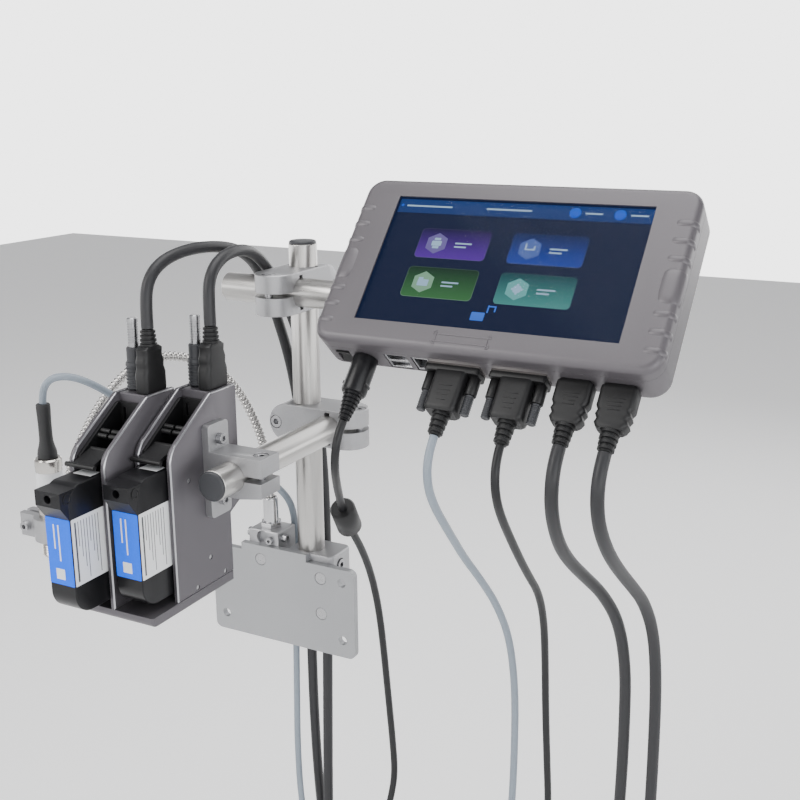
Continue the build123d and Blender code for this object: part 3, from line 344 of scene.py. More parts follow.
def sweep(form, path, radii, sides=14, across=None, wide=1.0, power=1.0):
    """A closed tube, extruded ring by ring with each ring square to the path and at its own radius."""
    across = across or (path[1] - path[0]).orthogonal().normalized()
    turns = [math.tau * (step + 0.5) / sides for step in range(sides)]
    section = [(bent(math.cos(turn), power) * wide, bent(math.sin(turn), power), 0) for turn in turns]
    made = set()
    for number, point in enumerate(path):
        way = (path[min(number + 1, len(path) - 1)] - path[max(number - 1, 0)]).normalized()
        across = (across - way * across.dot(way)).normalized()
        here = plane_matrix(point, across, way.cross(across)) @ Matrix.Scale(radii[number], 4)
        if number == 0:
            spots = [form.verts.new(here @ Vector(spot)) for spot in section]
            ring = [form.edges.new(pair) for pair in zip(spots, spots[1:] + spots[:1])]
            made.update(bmesh.ops.contextual_create(form, geom=ring)["faces"])
        else:
            grown = bmesh.ops.extrude_edge_only(form, edges=ring)["geom"]
            spots = [one for one in grown if isinstance(one, bmesh.types.BMVert)]
            made.update(one for one in grown if isinstance(one, bmesh.types.BMFace))
            ring = [one for one in grown if isinstance(one, bmesh.types.BMEdge) and one.is_boundary]
            bmesh.ops.transform(form, matrix=here @ before.inverted(), verts=spots)
        before = here
    made.update(bmesh.ops.contextual_create(form, geom=ring)["faces"])
    bmesh.ops.recalc_face_normals(form, faces=list(made))
    return form


def turned(form, outline, place, sides=32):
    """A closed turned part, spun from (radius, height) pairs round a placed axis."""
    known = set(form.verts)
    half_step = Matrix.Rotation(math.pi / sides, 4, "Z")
    spots = [form.verts.new(half_step @ Vector((radius, 0, high))) for radius, high in outline]
    edges = [form.edges.new(pair) for pair in zip(spots, spots[1:])]
    bmesh.ops.spin(form, geom=spots + edges, cent=(0, 0, 0), axis=(0, 0, 1), angle=math.tau,
                   steps=sides, use_merge=True)
    spots = [spot for spot in form.verts if spot not in known]
    rims = {edge for spot in spots for edge in spot.link_edges if edge.is_boundary}
    bmesh.ops.holes_fill(form, edges=list(rims))
    faces = {face for spot in spots for face in spot.link_faces}
    bmesh.ops.recalc_face_normals(form, faces=list(faces))
    bmesh.ops.transform(form, matrix=place, verts=spots)


def loft(form, sections, place, steps=5):
    """A closed stack of rounded rectangles, each (width, depth, corner, height) on a placed axis."""
    rings = []
    for width, depth, corner, high in sections:
        ring = []
        for number, (side_x, side_y) in enumerate(((1, 1), (-1, 1), (-1, -1), (1, -1))):
            for step in range(steps + 1):
                turn = math.radians(90 * (number + step / steps))
                x = side_x * (width / 2 - corner) + corner * math.cos(turn)
                y = side_y * (depth / 2 - corner) + corner * math.sin(turn)
                ring.append(form.verts.new((x, y, high)))
        rings.append(ring)
    join_rings(form, rings)
    bmesh.ops.transform(form, matrix=place, verts=[spot for ring in rings for spot in ring])


def block(form, low, high, round_by=0.0, segments=2, place=Matrix.Identity(4)):
    """A box between two corners, with its edges rounded."""
    low, high = Vector(low), Vector(high)
    size = Matrix.Diagonal((*(high - low), 1))
    made = bmesh.ops.create_cube(form, size=1.0, matrix=Matrix.Translation((low + high) / 2) @ size)
    spots = made["verts"]
    if round_by:
        edges = list({edge for spot in spots for edge in spot.link_edges})
        cut = bmesh.ops.bevel(form, geom=edges, offset=round_by, segments=segments, profile=0.5,
                              affect="EDGES", clamp_overlap=True, material=-1)
        spots = list({spot for face in cut["faces"] for spot in face.verts})
    bmesh.ops.transform(form, matrix=place, verts=spots)


def in_metres(form):
    bmesh.ops.transform(form, matrix=Matrix.Scale(MM, 4), verts=form.verts)
    return form


def extra(name, form, body, paint_one, **looks):
    """Places a mesh, in millimetres, that stands for no node of the frame."""
    return place_piece(name, in_metres(form), body, [paint_one], **looks)


def stand(x, y, z):
    return Matrix.Translation((x, y, z))


def plane_matrix(origin, x_way, y_way):
    x_way, y_way = Vector(x_way), Vector(y_way)
    rows = Matrix((x_way, y_way, x_way.cross(y_way))).transposed().to_4x4()
    return Matrix.Translation(origin) @ rows


# %% [markdown]
# ## Leads
# Every lead is one smooth line near a few points, cut into lengths. A length on one body rides on it,
# and a length that crosses a joint stays where it is laid, on no body, so it does not bend.


# %% Lead helpers
def along_points(points, smoothness=10):
    """A smooth line near the points, as closely spaced points in metres."""
    line = bpy.data.curves.new("line", "CURVE")
    line.dimensions = "3D"
    spline = line.splines.new("NURBS")
    spline.points.add(len(points) - 1)
    for spot, point in zip(spline.points, points):
        spot.co = (*(value * MM for value in point), 1)
    spline.order_u = 3
    spline.use_endpoint_u = True
    spline.resolution_u = smoothness
    holder = bpy.data.objects.new("line", line)
    read = bpy.data.meshes.new_from_object(holder)
    path = [vertex.co.copy() for vertex in read.vertices]
    bpy.data.objects.remove(holder)
    bpy.data.curves.remove(line)
    bpy.data.meshes.remove(read)
    return path


def run_length(path):
    return sum((after - before).length for before, after in zip(path, path[1:]))


def cut_line(path, route, cuts):
    """Splits a line at the samples nearest to some of its route's points."""
    marks = []
    for number in cuts:
        goal = Vector(route[number]) * MM
        marks.append(min(range(len(path)), key=lambda spot: (path[spot] - goal).length))
    edges = [0] + marks + [len(path) - 1]
    return [path[first:last + 1] for first, last in zip(edges, edges[1:])]


def lead(name, route, cuts, homes, diameter, paint_one, stands_for):
    """Lays a lead. For each length, homes has the body it rides on, or two bodies where it crosses a joint,
    and then it stays in place.
    """
    path = along_points(route)
    for number, stretch in enumerate(cut_line(path, route, cuts)):
        home = homes[number]
        piece_name = f"{name}_{number + 1}"
        form = sweep(bmesh.new(), stretch, [diameter / 2] * len(stretch))
        mesh = bpy.data.meshes.new(piece_name)
        form.to_mesh(mesh)
        form.free()
        mesh.materials.append(paint_one)
        mesh.shade_smooth()
        mesh.set_sharp_from_angle(angle=math.radians(50))
        piece = bpy.data.objects.new(piece_name, mesh)
        scene.collection.objects.link(piece)
        if isinstance(home, str):
            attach(piece, home)
        else:
            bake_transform(piece)
        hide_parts(*stands_for)
    print(name, "is", round(run_length(path), 3), "m long in", len(homes), "lengths")


black_sleeve = finish("lead_black", (0.007, 0.007, 0.008), 0.0, 0.42, 1500, vary=0.15, bump=0.15,
                      shine=0.35)
hdmi_sleeve = finish("lead_dark_grey", (0.018, 0.018, 0.020), 0.0, 0.45, 1500, vary=0.12, bump=0.2,
                     shine=0.35)
grey_sleeve = finish("lead_pale_grey", (0.20, 0.235, 0.275), 0.0, 0.40, 1500, vary=0.06, bump=0.15)
data_lead, thin_lead = 7.5 * MM, 5 * MM
to_controller = [("root", "upper_clamp"), ("upper_clamp", "upper_rod"), ("upper_rod", "controller")]
from_controller = [(after, before) for before, after in reversed(to_controller)]
from_heads = [("print_heads", "lower_rod"), ("lower_rod", "lower_clamp"), ("lower_clamp", "root")]

# %% The two data leads of the heads
hdmi_route_left = (
    (-15.7, -108, 217.4), (-16.3, -107.5, 232), (-17, -104, 244), (-16.6, -95, 253),
    (-15, -79, 258.5), (-12.5, -54, 260), (-11.5, -24, 255.5), (-15.5, 1, 245), (-19, 20, 227),
    (-18, 32, 201), (-13, 39, 170), (-8, 42.5, 132), (-5, 43.5, 88), (-3, 43, 40), (-2.5, 42, -10),
    (-2.5, 41, -62), (-2, 41, -115), (0, 41, -168), (4, 41, -220), (14, 40, -272), (35, 39, -320),
    (71, 37, -357), (117, 35, -374), (165, 33, -368), (208, 30, -340), (239, 27, -298),
    (257, 24, -250), (266, 20, -201), (270, 16, -150), (271, 13, -98), (271.3, 12, -48),
    (271, 10, -4), (270, 2, 33), (267.5, -14, 60), (265, -35, 79), (264, -55, 95),
    (263.7, -74, 111), (263.6, -89, 127), (263.5, -98.5, 142), (263.5, -101, 156),
    (263.5, -97.3, 167.8), (263.5, -91.3, 174.4),
)
hdmi_route_right = (
    (12.5, -84, 217.4), (11.9, -83.5, 232), (10.3, -80, 244), (9, -71, 252.5), (8, -56, 257.5),
    (6, -36, 257), (1, -14, 249), (-5, 9, 234), (-5.5, 27, 212), (-0.5, 36, 182), (6, 41, 145),
    (9.5, 43.5, 104), (11.5, 43.5, 58), (12, 42, 8), (12, 41, -45), (12, 39, -98), (12.5, 36, -152),
    (14, 32, -206), (19, 28, -259), (32, 24, -310), (58, 20, -353), (96, 17, -384), (139, 15, -390),
    (179, 13, -369), (210, 12, -332), (230, 11, -287), (241, 11, -238), (247, 11, -187),
    (250, 11.5, -136), (251.5, 12, -86), (252, 11, -38), (251.5, 9, 4), (248, 1, 37),
    (242, -15, 61), (237, -35, 79), (235, -55, 95), (235.6, -74, 111), (237.2, -89, 127),
    (238.4, -98.5, 142), (239, -101, 156), (239, -97.3, 167.8), (239, -91.3, 174.4),
)
for name, route in (("hdmi_lead_left", hdmi_route_left), ("hdmi_lead_right", hdmi_route_right)):
    homes = from_heads + ["root"] + to_controller
    lead(name, route, (5, 7, 10, 26, 30, 32), homes, data_lead, hdmi_sleeve, [name])

# %% The photocell's lead
sensor_route = (
    (-116, -99, 156.3), (-115.5, -99, 164), (-111, -98.5, 171.5), (-103, -97, 175.5),
    (-93, -92, 175), (-84, -84, 169), (-75.5, -73, 158.5), (-66, -58, 143), (-54, -41, 125),
    (-40, -23, 109), (-25, -7, 98), (-11, 5, 87), (-4, 15, 74), (-5, 25, 60), (-9, 33, 43),
    (-12, 37, 20), (-13, 37.5, -10), (-13, 36, -46), (-12, 33, -90), (-10, 28, -138),
    (-5, 23, -185), (7, 19, -228), (31, 16, -266), (68, 14.5, -288), (110, 14, -284),
    (143, 14, -256), (162, 14, -216), (171, 14, -172), (175, 14, -126), (176.5, 13, -80),
    (176.5, 12, -34), (173.5, 8, 5), (168.5, -4, 34), (164.5, -22, 58), (163, -42, 79),
    (164.5, -60, 97), (166, -77, 114), (167, -91, 129), (167.8, -100.5, 142.5), (168, -103, 154.5),
    (168, -99.5, 165.2), (168, -94, 171.3),
)
homes = [("photocell", "root"), "root"] + to_controller
lead("sensor_lead", sensor_route, (8, 25, 30, 32), homes, thin_lead, grey_sleeve,
     ["sensor_lead"])

# %% [markdown]
# The last two leads are spare, so each ends in a coil and a plug. The turns of a coil lie in two
# layers of three places, and each turn moves on to the next place as it goes round.

# %% The plugs and the ferrite on the spare leads
ring_pitch = 2.2
for name, (x, y, z), body_r, body_l, tip_r, tip_l in (
    ("encoder_lead_plug", (166, 34, -255), 7.0, 26, 5.7, 8),
    ("power_lead_plug", (45, 33, -248), 6.0, 24, 4.0, 9),
):
    form = bmesh.new()
    down_way = plane_matrix((x, y, z), (1, 0, 0), (0, -1, 0))
    relief = [(3.1, -2.0), (3.4, 0.0)]
    for ring in range(5):
        low = ring * ring_pitch
        relief += [(4.0, low + 0.3), (4.0, low + 1.5), (3.4, low + 1.6), (3.4, low + ring_pitch)]
    grip_top, grip_end = 12.0, 12.0 + body_l
    relief += [(body_r - 1, grip_top - 0.6), (body_r, grip_top + 0.4)]
    relief += [(body_r, grip_top + body_l * 0.45), (body_r - 0.5, grip_top + body_l * 0.5)]
    relief += [(body_r, grip_top + body_l * 0.55), (body_r, grip_end - 0.8), (body_r - 0.8, grip_end)]
    turned(form, relief, down_way)
    tip = [(tip_r - 0.4, grip_end - 1), (tip_r, grip_end + 0.4), (tip_r, grip_end + tip_l)]
    turned(form, tip, down_way)
    stand_in(name, in_metres(form), [black])

low_end, high_end = Vector((82, -40, 83)), Vector((86.5, -58, 105))
along = (high_end - low_end).normalized()
across = along.orthogonal().normalized()
sleeve = [(2.8, -12.2), (7.0, -12.0), (8.0, -10.8), (8.0, 10.8), (7.0, 12.0), (2.8, 12.2)]
form = bmesh.new()
turned(form, sleeve, plane_matrix((low_end + high_end) / 2, across, along.cross(across)))
ferrite = stand_in("ferrite", in_metres(form), [black], "upper_rod")
print("the ferrite rides with the length of lead it is on, on upper_rod")

# %% The two spare leads and their coils
coil_radius, plug_aside = 27.5, 31
coil_places = ((-2.7, -10.8), (-2.7, 0.0), (-2.7, 5.4), (2.7, 5.4), (2.7, 0.0), (2.7, -5.4))


def coil_turns(centre, turns):
    """Points of a hanging coil, from its upper left and counter-clockwise, then down to its plug."""
    cx, cy, cz = centre
    points = []
    for angle in range(0, 360 * turns + 75, 15):
        number = min(angle // 360, turns)
        part = (angle % 360) / 360 if number < turns else 0.0
        here, after = coil_places[number], coil_places[min(number + 1, turns)]
        out = here[0] + (after[0] - here[0]) * part
        deep = here[1] + (after[1] - here[1]) * part
        if after[0] > here[0]:
            deep += 2.6 * math.sin(math.pi * part)
        turn = math.radians(120 + angle)
        radius = coil_radius + out
        points.append((cx + radius * math.cos(turn), cy + deep, cz + radius * math.sin(turn)))
    side, deep = cx - coil_radius - coil_places[turns][0], coil_places[turns][1]
    points.append((side - 0.4, cy + deep, cz - 9))
    points.append((side - 0.7, cy + deep * 0.9, cz - 17))
    points.append((cx - plug_aside, cy + deep * 0.5, cz - 26))
    points.append((cx - plug_aside, cy + deep * 0.05, cz - 35))
    points.append((cx - plug_aside, cy, cz - 43))
    return tuple(points)


encoder_route = (
    (207, -94, 171.3), (207.3, -99.5, 165.2), (208, -103, 154.5), (208, -100, 142.5),
    (207, -90, 129), (205.5, -75, 113), (204, -57, 94), (202.5, -37, 74), (202, -16, 53),
    (199.5, 1, 26), (197, 12, -8), (196, 18, -45), (195.8, 24, -86), (195.7, 30, -126),
    (195.6, 34, -157), (192.6, 34, -175), (183.2, 34, -189.2),
)
power_route = (
    (110, -93.4, 172), (109.8, -98.5, 166.3), (109, -101, 156), (106, -97, 144.5),
    (101, -87.5, 133), (94.5, -74.5, 120.5), (86.5, -58, 105), (82, -40, 83), (79.5, -20, 59),
    (76.5, -3, 33), (75, 9, 2), (74.5, 16, -33), (74.2, 22, -70), (74, 28, -107), (73.8, 32, -139),
    (73.6, 33, -157), (71, 33, -171), (62.2, 33, -182.2),
)
encoder_all = encoder_route[:-3] + ((195.6, 29, -155), (193.3, 24.3, -173), (189.6, 22.9, -184))
encoder_all += coil_turns((197, 34, -213), 5)
power_all = power_route[:-3] + ((73.4, 27, -155), (71.8, 22.6, -168), (68.6, 21.9, -177.5))
power_all += coil_turns((76, 33, -206), 4)
lead("encoder_lead", encoder_all, (8, 10, 14), from_controller + ["root"], thin_lead, black_sleeve,
     ["encoder_lead", "encoder_lead_coil"])
homes = from_controller[:1] + ["upper_rod"] + from_controller[1:] + ["root"]
lead("power_lead", power_all, (5, 7, 10, 14), homes, thin_lead, black_sleeve,
     ["power_lead", "power_lead_coil"])

# %% [markdown]
# ## Gooseneck and photocell
# The gooseneck is a wound metal hose, so its radius ripples along its whole length. The photocell is
# a nickel barrel with two nuts and a pale label, and its lead leaves through a soft black boot.

# %% Gooseneck
hose_metal = finish("hose_metal", (0.42, 0.41, 0.40), 1.0, 0.22, 900, vary=0.1, bump=0.05)
hose_route = (
    (-18, 16, 64.2), (-18.4, 15.5, 90), (-20.5, 12.5, 113), (-26, 8.5, 133), (-33, 4, 150),
    (-43, -3, 165), (-58, -13.5, 175), (-76, -25.5, 177.5), (-92, -36.5, 170), (-104, -48, 155),
    (-112, -60, 136), (-117, -71, 116), (-119, -79, 99), (-119, -82, 78),
)
hose = along_points(hose_route, 60)
hose_radius, groove, winding = 3.5 * MM, 0.9 * MM, 3.2 * MM
travelled, ripples = 0.0, []
for number, spot in enumerate(hose):
    travelled += (spot - hose[max(number - 1, 0)]).length
    wave = 0.5 - 0.5 * math.cos(math.tau * travelled / winding)
    ripples.append(hose_radius - groove * wave ** 2)
stand_in("gooseneck", sweep(bmesh.new(), hose, ripples, 18), [hose_metal], smooth=70)
print("gooseneck is", round(travelled, 3), "m long with", round(travelled / winding), "windings")

# %% Photocell
label_white = finish("label_white", (0.68, 0.69, 0.70), 0.0, 0.45, 900, vary=0.03, bump=0.05)
nickel = finish("photocell_nickel", (0.50, 0.48, 0.45), 1.0, 0.22, 1800, (1, 1, 0.2), 0.06, 0.1)
cell_at = stand(-116, -99, 0)
form = bmesh.new()
barrel = [(7.2, 50.0), (8.2, 50.0), (9.0, 50.8)]
thread_pitch = 1.2
for ridge in range(9):
    barrel += [(9.0, 51.0 + ridge * thread_pitch), (8.6, 51.6 + ridge * thread_pitch)]
barrel += [(9.0, 62.0), (9.0, 84.0), (8.7, 84.3), (8.7, 112.0), (9.0, 112.4), (9.0, 118.0), (8.0, 119.0)]
turned(form, barrel, cell_at, 48)
stand_in("photocell", in_metres(form), [nickel])
form = bmesh.new()
turned(form, [(8.6, 86.0), (8.82, 86.1), (8.82, 109.9), (8.6, 110.0)], cell_at, 48)
extra("photocell_label", form, body_of("photocell"), label_white)
form = bmesh.new()
boot = [(5.8, 118.6), (6.5, 119.4), (6.5, 122.0), (6.1, 124.5), (5.2, 127.5), (4.6, 130.5), (4.4, 134.0)]
boot += [(4.4, 143.0), (4.7, 152.0), (4.7, 155.4), (4.2, 156.0)]
turned(form, boot, cell_at)
stand_in("photocell_boot", in_metres(form), [rubber])

# %% [markdown]
# ## Controller
# The housing comes from the frame and gets raised grips that wrap round its side edges, as long thin
# sweeps. Each is half sunk in the housing, which is easier than to cut it into the housing's mesh.

# %% The controller's frame and its grips
tilt = math.radians(42)
up_panel = Vector((0, math.sin(tilt), math.cos(tilt)))
off_panel = Vector((0, -math.cos(tilt), math.sin(tilt)))
panel_centre = Vector((183.5, -8, 226.5))
panel = plane_matrix(panel_centre, (1, 0, 0), up_panel)
form = bmesh.new()
wrap = 2.85
grips = [(high, 2.8, 1.0, 0.75) for high in (36.0, 24.5, 13.0, -21.0, -32.0, -43.0)]
grips.append((-4.0, 2.8, 4.1, 0.4))
for side in (-1, 1):
    for high, thick, wide, power in grips:
        arc = [(90.5, 42.0 + wrap), (92.5, 42.0 + wrap), (95.0, 42.0 + wrap)]
        for step in range(9):
            turn = math.radians(90 - 90 * step / 8)
            arc.append((98.0 + wrap * math.cos(turn), 42.0 + wrap * math.sin(turn)))
        arc += [(98.0 + wrap, 40.0), (98.0 + wrap, 38.5)]
        path = [panel @ Vector((side * x, high, w)) for x, w in arc]
        widths = [0.55, 0.9, 1.0] + [1.0] * (len(arc) - 5) + [0.9, 0.55]
        sweep(form, path, [thick * part for part in widths], 16, up_panel, wide, power)
extra("controller_grips", form, "controller", case_grey, smooth=50)
print("grips:", 2 * len(grips))

# %% The raised rim below the screen
form = bmesh.new()
rim = [(-26, -44), (9, -44), (9, -52.5), (-26, -52.5)]
rim_round, rim_high = 2, 46.95
rim_path = []
for number, (x, y) in enumerate(rim):
    side_x = 1 if number in (0, 3) else -1
    side_y = -1 if number < 2 else 1
    for step in range(5):
        turn = math.radians(90 * step / 4)
        first, second = math.sin(turn), math.cos(turn)
        if number in (1, 3):
            first, second = second, first
        spot = (x + side_x * rim_round * (1 - first), y + side_y * rim_round * (1 - second), rim_high)
        rim_path.append(panel @ Vector(spot))
rim_path.append(rim_path[0])
sweep(form, rim_path, [0.35] * len(rim_path), 8)
extra("controller_rim", form, "controller", case_grey, smooth=60)

# %% [markdown]
# ## Screen
# A screen gives off its own light, so its finishes are emission, not paint. An image could hold the
# whole picture, but separate thin plates stay sharp at any distance and each has its own colour. A
# plate that lies on another is at least a hundredth of a millimetre thicker, so it shows. Every tile
# carries a plain symbol and bars for its words.


# %% A lit finish for the screen
def lit(name, low_colour, high_colour, low_y, high_y, strength=0.85):
    """Light whose colour changes with height on the screen, from low_y to high_y in millimetres."""
    made, shader = paint(name)
    tree = made.node_tree
    link = tree.links.new
    place = tree.nodes.new("ShaderNodeTexCoord")
    height = tree.nodes.new("ShaderNodeVectorMath")
    height.operation = "DOT_PRODUCT"
    height.inputs[1].default_value = up_panel
    link(place.outputs["Object"], height.inputs[0])
    zero = up_panel.dot(panel_centre)
    spread = tree.nodes.new("ShaderNodeMapRange")
    spread.inputs["From Min"].default_value = (zero + low_y) * MM
    spread.inputs["From Max"].default_value = (zero + high_y) * MM
    link(height.outputs["Value"], spread.inputs["Value"])
    shade = tree.nodes.new("ShaderNodeValToRGB")
    shade.color_ramp.elements[0].color = (*low_colour, 1)
    shade.color_ramp.elements[1].color = (*high_colour, 1)
    link(spread.outputs["Result"], shade.inputs["Fac"])
    link(shade.outputs["Color"], shader.inputs["Emission Color"])
    shader.inputs["Emission Strength"].default_value = strength
    shader.inputs["Base Color"].default_value = (0.002, 0.002, 0.004, 1)
    shader.inputs["Roughness"].default_value = 0.6
    shader.inputs["Specular IOR Level"].default_value = 0.05
    return made


# %% The screen
screen_y, screen_face = 2.5, 44.2
navy = lit("screen_navy", (0.0075, 0.016, 0.050), (0.0080, 0.017, 0.056), -42, 46)
bar_blue = lit("screen_bar", (0.017, 0.050, 0.20), (0.020, 0.062, 0.24), 35, 46)
form = bmesh.new()
loft(form, [(160, 89.5, 0.5, 39.2), (160, 89.5, 0.5, screen_face)], panel @ stand(0, screen_y, 0))
stand_in("display_panel", in_metres(form), [navy])


def flat(name, shapes, paint_one, thick=0.06):
    """Thin lit plates on the display, from (x, y, width, height, corner) in the screen's own plane."""
    form = bmesh.new()
    for x, y, width, tall, corner in shapes:
        at = panel @ stand(x, y + screen_y, 0)
        loft(form, [(width, tall, corner, screen_face), (width, tall, corner, screen_face + thick)], at)
    extra(name, form, "controller", paint_one)


def discs(name, shapes, paint_one, thick, sides):
    """Thin lit discs on the display, from (x, y, radius); few sides make a badge with corners."""
    form = bmesh.new()
    for x, y, radius in shapes:
        at = panel @ stand(x, y + screen_y, 0)
        turned(form, [(radius, screen_face), (radius, screen_face + thick)], at, sides)
    extra(name, form, "controller", paint_one)


flat("screen_header", [(0, 38.2, 156.4, 9.6, 0.3)], bar_blue)
tiles = (
    ("violet", -34.5, 12.6, (0.125, 0.030, 0.42), (0.020, 0.014, 0.075), (0.20, 0.16, 0.45)),
    ("blue", 23.5, 12.6, (0.020, 0.060, 0.42), (0.010, 0.024, 0.10), (0.10, 0.17, 0.52)),
    ("green", -34.5, -14.2, (0.055, 0.20, 0.065), (0.012, 0.045, 0.022), (0.26, 0.50, 0.33)),
    ("teal", 23.5, -14.2, (0.075, 0.32, 0.30), (0.014, 0.070, 0.085), (0.17, 0.52, 0.52)),
)
words = lit("screen_words", (0.40, 0.62, 0.85), (0.50, 0.72, 0.95), -40, 46)
tile_wide, tile_tall, tile_rim = 44.0, 20.0, 0.6
for name, x, y, low_colour, high_colour, badge in tiles:
    foot, head = screen_y + y - tile_tall / 2, screen_y + y + tile_tall / 2
    fill = lit(f"tile_{name}", low_colour, high_colour, foot, head)
    edge = lit(f"tile_edge_{name}", badge, [part * 0.4 for part in badge], foot, head, 0.5)
    sign = lit(f"badge_{name}", badge, badge, 0, 1)
    flat(f"tile_edge_{name}", [(x, y, tile_wide + tile_rim, tile_tall + tile_rim, 2.6)], edge)
    flat(f"tile_{name}", [(x, y, tile_wide, tile_tall, 2.4)], fill, 0.08)
    discs(f"badge_{name}", [(x - 10.5, y, 7.2)], sign, 0.11, 6)
    lines = [(x + 6.5, y + 0.7, 10.5, 1.0, 0.4), (x + 5.0, y - 1.7, 7.5, 1.0, 0.4)]
    flat(f"word_{name}", lines, words, 0.13)
marks = (
    [(-45, 12.6, 6.2, 3.4, 0.6), (-45, 15.6, 4.0, 1.6, 0.3), (-45, 9.9, 4.0, 1.6, 0.3)],
    [(13, 12.2, 6.0, 0.9, 0.3), (10.4, 14.0, 0.9, 4.4, 0.3), (15.6, 13.2, 0.9, 3.0, 0.3)],
    [(-45, -14.6, 6.8, 4.4, 0.6), (-46.8, -11.8, 3.0, 1.4, 0.4)],
    [(13, -14.2, 1.4, 7.0, 0.4), (13, -14.2, 7.0, 1.4, 0.4), (13, -14.2, 4.8, 4.8, 1.6)],
)
for tile, shapes in zip(tiles, marks):
    flat(f"mark_{tile[0]}", shapes, words, 0.14)
print("tiles:", len(tiles))

# %% The screen's header and padlock
flat("header_words", [(-58, 38.4, 30, 1.1, 0.4), (-7, 38.4, 28, 1.1, 0.4), (44, 38.4, 10, 1.0, 0.4),
                      (70, 38.4, 10, 1.0, 0.4)], words, 0.1)
gauge = lit("screen_gauge", (0.010, 0.090, 0.75), (0.020, 0.16, 0.95), 36, 45)
discs("header_gauges", [(33, 38.4, 3.4), (59, 38.4, 3.4)], gauge, 0.11, 32)
discs("header_dot", [(-76, 38.6, 0.9)], gauge, 0.1, 20)
padlock_blue = lit("padlock_blue", (0.035, 0.16, 0.80), (0.060, 0.22, 0.95), -40, -30)
flat("padlock", [(-5, -33.6, 8.0, 5.4, 0.6), (4.2, -28.3, 0.9, 3.4, 0.4), (0.0, -28.4, 0.9, 5.0, 0.4),
                 (2.1, -26.6, 5.0, 0.9, 0.4)], padlock_blue)

# %% The glass over the screen
glass, shader = paint("screen_glass")
shader.inputs["Base Color"].default_value = (0.01, 0.01, 0.012, 1)
shader.inputs["Roughness"].default_value = 0.06
shader.inputs["Alpha"].default_value = 0.025
form = bmesh.new()
loft(form, [(163, 91.5, 1.0, 44.4), (163, 91.5, 1.0, 45.5)], panel @ stand(0, screen_y, 0))
stand_in("screen_glass", in_metres(form), [glass])

# %% [markdown]
# ## Plugs
# The plugs under the controller are drawn from its underside downwards, in a frame of their own:
# x runs along the controller, y towards the operator, z down and out of the socket.


# %% Plugs under the controller
def under(x):
    """The frame of the port at x along the controller's underside."""
    return plane_matrix(panel @ Vector((x, -56, 27)), (1, 0, 0), off_panel)


def ribbed(form, place, start, stop, wide, narrow, ribs, core):
    """A strain relief of rings that get smaller, with cuts between them."""
    outline = [(core, start - 0.5)]
    run = (stop - start) / ribs
    for rib in range(ribs):
        radius = wide + (narrow - wide) * rib / max(1, ribs - 1)
        low = start + rib * run
        outline += [(radius - 0.5, low), (radius, low + 0.3), (radius, low + run * 0.6)]
        outline += [(radius - 1.0, low + run * 0.68), (radius - 1.0, low + run * 0.97)]
    outline.append((narrow - 1.1, stop))
    turned(form, outline, place, 28)


form, screws_form, metal_form = bmesh.new(), bmesh.new(), bmesh.new()
for x in (-15.5, 23.5):
    at = under(x)
    loft(metal_form, [(32.6, 12.2, 1.5, 0.02), (33.0, 12.6, 1.5, 1.2)], at)
    flange = [(32.6, 12.2, 1.5, 1.1), (33.0, 12.6, 1.5, 1.6)]
    flange += [(33.0, 12.6, 1.5, 4.6), (32.4, 12.0, 1.5, 5.0)]
    loft(form, flange, at)
    loft(form, [(19.0, 13.4, 2.5, 4.5), (19.0, 14.0, 2.8, 5.5), (19.0, 14.4, 3.0, 9), (19.0, 14.4, 3.0, 26),
                (18.4, 13.8, 3.0, 27.8), (16.4, 12.0, 3.0, 29.0)], at)
    for line in range(4):
        wide = 8.5 - line * 1.0
        block(form, (-wide / 2, 6.9, 13.5 + line * 3), (wide / 2, 7.45, 14.3 + line * 3), 0.2, 2, at)
    ribbed(form, at, 28.6, 42.0, 5.2, 4.4, 4, 3.6)
    for side in (-1, 1):
        spot = at @ stand(side * 13.2, 0, 0)
        turned(form, [(3.3, 5.0), (3.5, 5.3), (3.5, 15.6), (3.2, 16.0)], spot, 24)
        knurl = [(2.4, 15.9), (2.8, 16.4)]
        for ring in range(9):
            knurl += [(2.8, 16.6 + ring * 1.2), (2.5, 17.2 + ring * 1.2)]
        knurl += [(2.8, 27.4), (2.3, 28.0)]
        turned(screws_form, knurl, spot, 20)
stand_in("dsub_plugs", in_metres(form), [black])
extra("dsub_plug_shells", metal_form, "controller", nickel)
stand_in("plug_thumbscrews", in_metres(screws_form), [cap_grey], smooth=25)


# %% [markdown]
# A data plug has a flat moulded grip that swells and shrinks in waves, for the fingers. Stacked
# rounded rectangles whose width follows a cosine give those waves without any sculpting.

# %% The data plugs of the controller
form = bmesh.new()
for x in (55.5, 80.0):
    at = under(x)
    waves = [(17.5, 9.2, 2.4, 0.02), (20.3, 10.8, 2.8, 1.4)]
    waves += [(20.5, 11.0, 3.0, 3.0), (20.5, 11.0, 3.0, 13.0)]
    for step in range(1, 11):
        wave = 1.1 * (0.5 - 0.5 * math.cos(step * math.pi * 0.5))
        waves.append((20.5 - 2 * wave - step * 0.22, 11.0 - step * 0.06, 3.0, 13.0 + step * 1.2))
    waves.append((14.0, 9.4, 3.0, 26.0))
    loft(form, waves, at)
    for line in range(4):
        wide = 10.0 - line * 1.2
        block(form, (-wide / 2, 5.2, 8.5 + line * 2.2), (wide / 2, 5.72, 9.1 + line * 2.2), 0.15, 2, at)
    ribbed(form, at, 25.8, 38.0, 5.4, 4.6, 4, 3.8)
stand_in("controller_hdmi_plugs", in_metres(form), [black])

# %% [markdown]
# The power plug is round, so it is spun. Its two side wings and the flat key along it are small
# rounded blocks that are sunk a little into the barrel, which hides where they join.

